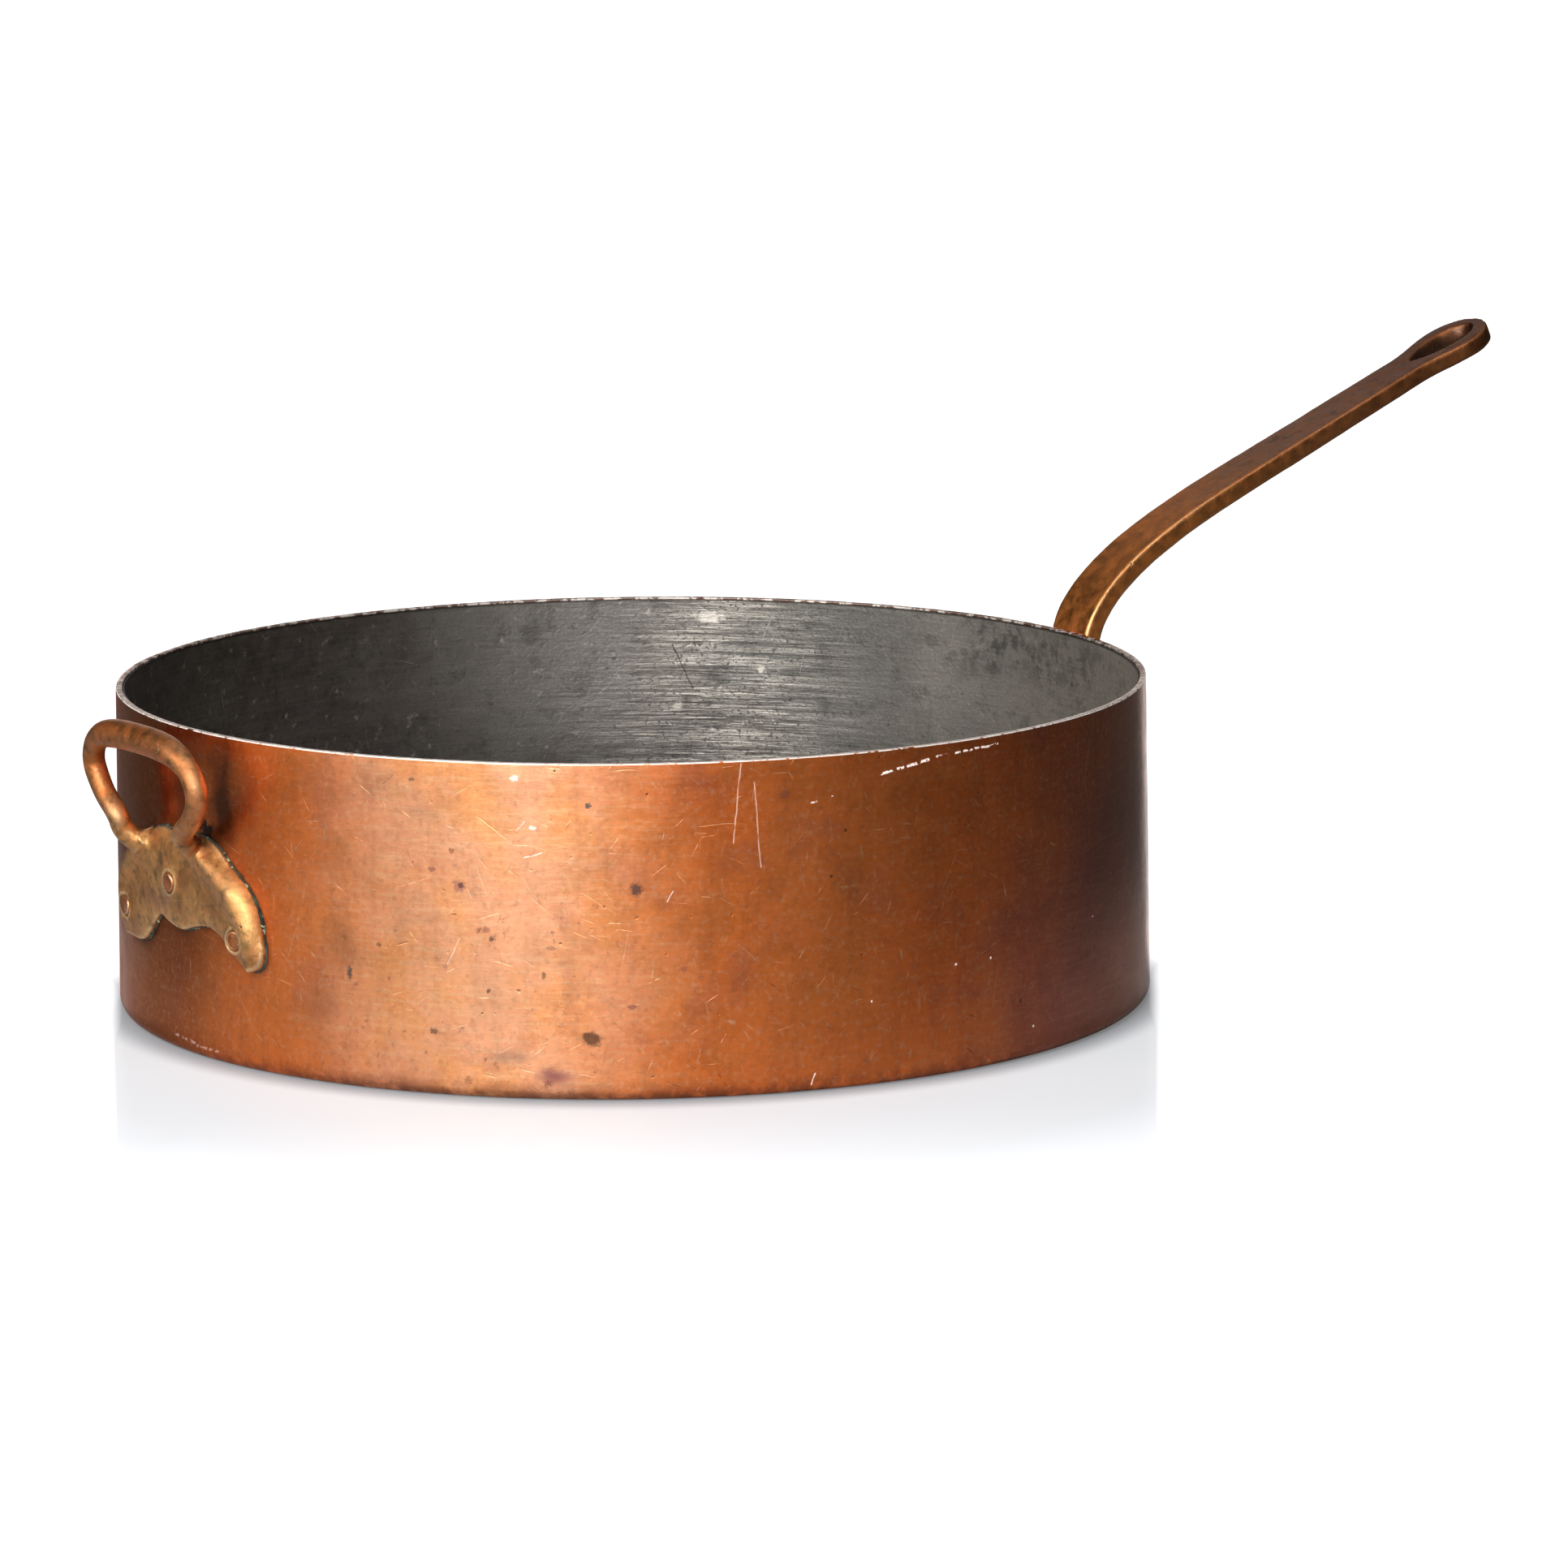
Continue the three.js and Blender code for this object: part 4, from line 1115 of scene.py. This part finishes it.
def handleBar():
    line = handlePath()[0]
    lengths = lengthsAlong(line)
    total = lengths[-1]
    roundStart = total - handle["eyeWidth"] / 2
    tip = np.sin(math.pi / 2 * np.arange(handle["tipSteps"] + 1) / handle["tipSteps"])
    straight = np.linspace(0, roundStart, handle["steps"], endpoint=False)
    rings = []
    for distance in [*straight, *mixed(roundStart, total, tip)]:
        three = [distance, min(distance + handle["aheadBy"], total), max(distance - handle["aheadBy"], 0)]
        point, ahead, behind = placesAlong(line, lengths, three)
        along = (ahead - behind) / np.linalg.norm(ahead - behind)
        down = np.array([along[2], 0, -along[0]])
        fromTip = total - distance
        thick = mixed(handle["tipThick"], handle["thick"], smoothShare(fromTip, 0, handle["straight"]))
        width = handleWidth(fromTip)
        radius = min(handle["corner"], width * 0.49, thick * 0.49)
        right, deep = width / 2 - radius, thick - radius
        section = []
        for number, centre in enumerate(((right, radius), (right, deep), (-right, deep), (-right, radius))):
            section += arcPoints(centre, radius, 90 * number - 90, 90 * number, handle["edgeSteps"])
        rings.append([point + np.array([0, across, 0]) + down * depth for across, depth in section])
    return loft(rings)


# Teardrop cutter for the hanging eye, pointed towards the pan
def eyeCutter():
    bendEnd, out = handlePath()[1:]
    half, belly = handle["holeWidth"] / 2, handle["holeBelly"]
    pulls = np.array([(0, 0), (belly / 4, half * 0.75), (belly * 0.6, half), (belly, half)])
    upper = bezier(pulls, handle["dropSteps"])
    turn = np.linspace(math.pi / 2, -math.pi / 2, handle["dropRound"])[1:-1]
    end = np.stack([belly + handle["holeRound"] * np.cos(turn), half * np.sin(turn)], 1)
    drop = np.vstack([upper, end, (upper * [1, -1])[::-1][:-1]])
    up = np.array([-out[2], 0, out[0]])
    side = np.cross(up, out)
    start = bendEnd + out * (handle["straight"] - handle["holeEndWall"] - handle["holeRound"] - belly)
    draft = [start + drop[:, :1] * out + drop[:, 1:] * side * share for share in handle["holeDraft"]]
    return loft([ring + up * way * 1.5 * handle["thick"] for ring, way in zip(draft, (-1, 1))])


def cutAway(points, faces, cutter):
    whole, tool = newPiece("handle_bar", points, faces), newPiece("eye_cutter", *cutter)
    for piece in (whole, tool):
        clean = bmesh.new()
        clean.from_mesh(piece.data)
        bmesh.ops.recalc_face_normals(clean, faces=clean.faces)
        clean.to_mesh(piece.data)
        clean.free()
    modifier = whole.modifiers.new("eye", "BOOLEAN")
    modifier.operation, modifier.object, modifier.solver = "DIFFERENCE", tool, "EXACT"
    mesh = baked(whole).data
    made = readVectors(mesh, "co"), [tuple(face.vertices) for face in mesh.polygons]
    for piece in (whole, tool):
        bpy.data.objects.remove(piece)
    return made


casting = {
    "leastRise": 0.000001,    # a hollow shallower than this is left as it is
    "renewed": 25,            # passes after which the normals are read again
    "seatEdge": 0.0008,       # up to here from the wall nothing is filled
    "rivetEdge": 4.8,         # and up to here from a rivet's axis
    "reach": 0.0005,          # rise that counts as a full bulge
    "passes": 12,
    "dark": 4.4,              # a dark line round each rivet, and a worn ring round that
    "darkBulge": 0.38,
    "wornAndLit": (4.6, 5.6),
    "wornBulge": 0.8,
}


# A function that averages a field over the neighbours of every point, as often as asked
def averager(mesh):
    edges = np.empty(len(mesh.edges) * 2, np.int32)
    mesh.edges.foreach_get("vertices", edges)
    a, b = edges.reshape(-1, 2).T
    ends, others, total = np.concatenate([a, b]), np.concatenate([b, a]), len(mesh.vertices)
    count = np.bincount(ends, minlength=total)

    def average(field, times=1):
        for _ in range(times):
            columns = [np.bincount(ends, part[others], total) / count for part in field.reshape(total, -1).T]
            field = np.stack(columns, 1).reshape(field.shape)
        return field

    return average


# Creases fill up like the fillets of a casting; what stands out stays as it is
def fillHollows(mesh, kept, passes):
    average, points = averager(mesh), readVectors(mesh, "co")
    for number in range(passes):
        if number % casting["renewed"] == 0:
            writePoints(mesh, points)
            normals = readVectors(mesh, "normal")
        rise = ((average(points) - points) * normals).sum(1) - casting["leastRise"]
        points += normals * np.where(kept, 0, np.maximum(rise, 0))[:, None]
    writePoints(mesh, points)


# How much each point bulges out of its neighbourhood: 0.5 on a flat face, more on an edge, less in a hollow
def bulgeOf(mesh):
    average, points = averager(mesh), readVectors(mesh, "co")
    rise = ((points - average(points, casting["passes"])) * readVectors(mesh, "normal")).sum(1)
    return np.clip(0.5 + average(rise, 3) / casting["reach"] * 0.5, 0, 1)


def belowSeat(place):
    radius = np.hypot(place[:, 0], place[:, 1])
    return radius, (wallRadius(place[:, 2] / millimetre) + plate["seat"]) * millimetre


# Distance of each point from each rivet's axis, in millimetres
def fromRivets(place, middle):
    for angle, z in rivetPlaces(middle):
        across = (place[:, 1] * math.cos(angle) - place[:, 0] * math.sin(angle)) / millimetre
        yield np.hypot(across, place[:, 2] / millimetre - z)


def castHandle(name, parts, middle, turn, voxel, smoothing, filling):
    points, faces, first = [], [], 0
    for partPoints, partFaces in parts:
        points.append(partPoints)
        faces += [[corner + first for corner in face] for face in partFaces]
        first += len(partPoints)
    piece = newPiece(name, np.vstack(points) * millimetre, faces)
    remesh, soften = (piece.modifiers.new(kind.lower(), kind) for kind in ("REMESH", "SMOOTH"))
    remesh.mode, remesh.voxel_size = "VOXEL", voxel
    soften.factor, soften.iterations = 0.5, smoothing
    place = readVectors(baked(piece).data, "co")
    radius, least = belowSeat(place)
    kept = radius < least + casting["seatEdge"]
    for ring in fromRivets(place, middle):
        kept |= ring < casting["rivetEdge"]
    fillHollows(piece.data, kept, filling)
    giveTree(piece, weatheredSkin, dict(skins["casting"], Finish=helperBronze))
    place = readVectors(piece.data, "co")
    radius, least = belowSeat(place)
    place[:, :2] *= (np.maximum(radius, least) / radius)[:, None]
    writePoints(piece.data, place)
    bulge = bulgeOf(piece.data)
    near, far = casting["wornAndLit"]
    for ring in fromRivets(place, middle):
        bulge[ring < casting["dark"]] = casting["darkBulge"]
        bulge[(ring > near) & (ring < far)] = casting["wornBulge"]
    writeAttribute(piece.data, "bulge", bulge)
    piece.data.transform(Matrix.Rotation(math.radians(turn), 4, "Z"))
    return piece, radius < least


def plateParts(middle, *more):
    return [webOf(middle), *ridgesOf(middle, more), *bossesOf(middle)]


helperCasting, helperSeated = castHandle(
    "helper_casting", [helperLoop(), *plateParts(helper["height"])], helper["height"], helper["turn"],
    voxel=0.0005, smoothing=8, filling=260)

shoulderHeight = handle["height"] + helper["rootHeight"] + plate["ridgeWidth"] / 2
shoulderSize = plate["ridgeWidth"] - 5, 2 * plate["ridgeHeight"]
shoulder = (onWall(handle["shoulder"], shoulderHeight, 0), *shoulderSize)
handleParts = [cutAway(*handleBar(), eyeCutter()), *plateParts(handle["height"], shoulder)]
handleCasting, handleSeated = castHandle(
    "handle_casting", handleParts, handle["height"], 0, voxel=0.0007, smoothing=3, filling=120)
handleCasting.data.materials[0] = handleBronze


# Flanks of the grip, painted lighter where they face sideways, and the inside of the eye, painted in shade
def paintHandleLightAndShade(mesh):
    average, normals = averager(mesh), readVectors(mesh, "normal")
    points = readVectors(mesh, "co") / millimetre
    bendEnd, out = handlePath()[1:]
    toTip = handle["straight"] - (points - bendEnd) @ out
    depth = handle["holeEndWall"] + handle["holeRound"] + handle["holeBelly"]
    inHole = (toTip > handle["holeEndWall"] - 2) & (toTip < depth)
    inHole &= np.abs(points[:, 1]) < handle["holeWidth"] / 2 + 1.5
    inHole &= np.abs(normals @ np.cross(out, [0, 1, 0])) < 0.6
    writeAttribute(mesh, "flank", average(np.clip(np.abs(normals[:, 1]) * 2 - 0.8, 0, 1) * ~inHole, 3))
    # painted shade inside the eye
    writeAttribute(mesh, "grimeAndShade", average(inHole.astype(float), 3))


paintHandleLightAndShade(handleCasting.data)
print("casserole: castings fused")


# Crust of verdigris and old polish along the edge of each plate

crust = {"Radius": 0.00072, "Lumps": 0.9, "Lump Size": 0.003, "Seed": 2.0}


def drawCrust(place, given):
    line = place.node("GeometryNodeMeshToCurve", {"Mesh": given["Geometry"]})
    even = place.node("GeometryNodeResampleCurve", {"Curve": line, "Length": 0.0007}, mode="LENGTH")
    lumps = (seededNoise(place, given["Seed"], 1.0 / given["Lump Size"], 3.0) - 0.5) * (given["Lumps"] * 3.0)
    radius = given["Radius"] * (lumps + 1.0).calc("MAXIMUM", 0.15)
    sized = place.node("GeometryNodeSetCurveRadius", {"Curve": even, "Radius": radius})
    ring = place.node("GeometryNodeCurvePrimitiveCircle", {"Resolution": 8, "Radius": 1.0})
    scale = place.node("GeometryNodeInputRadius", {})
    values = {"Curve": sized, "Profile Curve": ring, "Scale": scale, "Fill Caps": True}
    return place.node("GeometryNodeCurveToMesh", values)


crustTree = newShape("crustBead", drawCrust, crust, Geometry="Geometry")


# Edge of the seat: the mesh edges between its face on the wall and its sides
def seatOutline(mesh, seated):
    sides = {}
    for face in mesh.polygons:
        flat = all(seated[corner] for corner in face.vertices)
        for edge in face.edge_keys:
            sides.setdefault(edge, []).append(flat)
    edges = [edge for edge, flats in sides.items() if len(flats) == 2 and flats[0] != flats[1]]
    used = sorted({corner for edge in edges for corner in edge})
    index = {corner: i for i, corner in enumerate(used)}
    return readVectors(mesh, "co")[used], [(index[a], index[b]) for a, b in edges]


def layCrust(name, piece, seated):
    points, edges = seatOutline(piece.data, seated)
    return giveTree(newPiece(name, points, [], edges), crustTree, dict(crust, Finish=crustFinish)), points


helperCrust, helperOutline = layCrust("helper_crust", helperCasting, helperSeated)
handleCrust, handleOutline = layCrust("handle_crust", handleCasting, handleSeated)


# Rivets, one tree for all six

rivets = {
    "Shank Radius": 0.0038, "Head Radius": 0.0075, "Head Height": 0.0032, "Crown": 0.0004, "Burr": 0.0005,
}
rivetHead, rivetSink = 7.5, 0.1    # the head's radius on the tin, and how far head and end are let in


def drawRivet(place, given):
    def cylinder(rings, fill, radius, depth):
        values = {"Vertices": 48, "Side Segments": rings, "Fill Segments": fill}
        return place.node("GeometryNodeMeshCylinder", values | {"Radius": radius, "Depth": depth}, "Mesh")

    def placed(geometry, **values):
        return place.node("GeometryNodeTransform", {"Geometry": geometry} | values)

    # Shank with a soft crowned end and a lip of burr round it
    x, y, z = place.parts()
    away = flatLength(x, y)
    length = given["End"] - given["Seat"]
    half = length * 0.5
    share = away / given["Shank Radius"]
    onEnd = z.calc("GREATER_THAN", half * 0.999)
    crown = given["Crown"] * (1.0 - share.calc("POWER", 2.0))
    lip = step(share, 0.78, 0.9) * step(share, 0.9, 1.0, 1.0, 0.0)
    lip = lip * step(seededNoise(place, given["Seed"], 260.0, 2.0), 0.32, 0.54)
    lift = onEnd * (crown + lip * given["Burr"] + step(share, 0.88, 1.0) * -0.0003)
    raised = moved(cylinder(3, 10, given["Shank Radius"], length), upright(lift))
    burr = {"Geometry": raised, "Name": "burr", "Value": onEnd * lip}
    marked = place.node("GeometryNodeStoreNamedAttribute", burr, data_type="FLOAT", domain="POINT")

    # Low domed head on the inside
    domed = 1.0 - (away / given["Head Radius"]).calc("POWER", 2.2)
    sink = z.calc("LESS_THAN", 0.0) * domed * (given["Head Height"] * -1.0)
    low = moved(cylinder(1, 12, given["Head Radius"], 0.0004), upright(sink))
    head = placed(low, Translation=upright(half * -1.0))
    both = addNode(place.tree, "GeometryNodeJoinGeometry")
    for part in (head, marked):
        feed(part, both.inputs[0])

    # Laid along the radius, then turned to its angle and lifted to its height
    middle = (given["End"] + given["Seat"]) * 0.5
    out = middle.node("ShaderNodeCombineXYZ", {0: middle})
    laid = placed(Field(both.outputs[0]), Rotation=(0.0, math.pi / 2, 0.0), Translation=out)
    return placed(laid, Rotation=upright(given["Angle"]), Translation=upright(given["Height"]))


rivetTree = newShape("rivet", drawRivet, [*rivets, "End", "Seat", "Height", "Angle", "Seed"])


def setRivet(name, z, angle, seed):
    lining = pan["wall"] + pan["tinGap"] + pan["tin"]
    seat = math.sqrt((wallRadius(z + rivetHead) - lining) ** 2 - rivetHead ** 2) - rivetSink
    end = wallRadius(z) + plate["bossHeight"] - rivetSink
    return giveTree(newPiece(name, [(0, 0, 0)], []), rivetTree, dict(
        rivets, End=end * millimetre, Seat=seat * millimetre, Height=z * millimetre, Angle=angle, Seed=seed,
        Finish=rivetFinish))


handles = (("long_handle", handle["height"], 0.0), ("helper", helper["height"], helper["turn"]))
for prefix, middle, turn in handles:
    for number, (angle, z) in enumerate(rivetPlaces(middle), 1):
        piece = setRivet(f"{prefix}_rivet_set_{number}", z, angle + math.radians(turn), number * 1.7)
        finished(piece, "rivet_copper", f"{prefix}_rivet_{number}")


# Soot and old polish on the wall, with painted shade beside the plates, up to 6 mm from the plates
def grimeAndShadeRound(mesh, outlines, reach=0.006):
    lines = np.vstack(outlines)
    tree = KDTree(len(lines))
    for i, point in enumerate(lines):
        tree.insert(point, i)
    tree.balance()
    near = np.array([tree.find(place)[2] for place in readVectors(mesh, "co")])
    return np.clip(1 - near / reach, 0, 1) ** 2


giveTree(panShell, weatheredSkin, dict(skins["pan"], Finish=copperFinish))
giveTree(panTin, weatheredSkin, dict(skins["tin"], Finish=tinFinish))
writeAttribute(panShell.data, "grimeAndShade", grimeAndShadeRound(panShell.data, [helperOutline, handleOutline]))

finished(panShell, "copper", "pan_body")
finished(panTin, "tin", "tin_lining")
finished(helperCasting, "bronze", "helper_handle")
finished(handleCasting, "bronze", "long_handle")
finished(helperCrust, "bronze")
finished(handleCrust, "bronze")
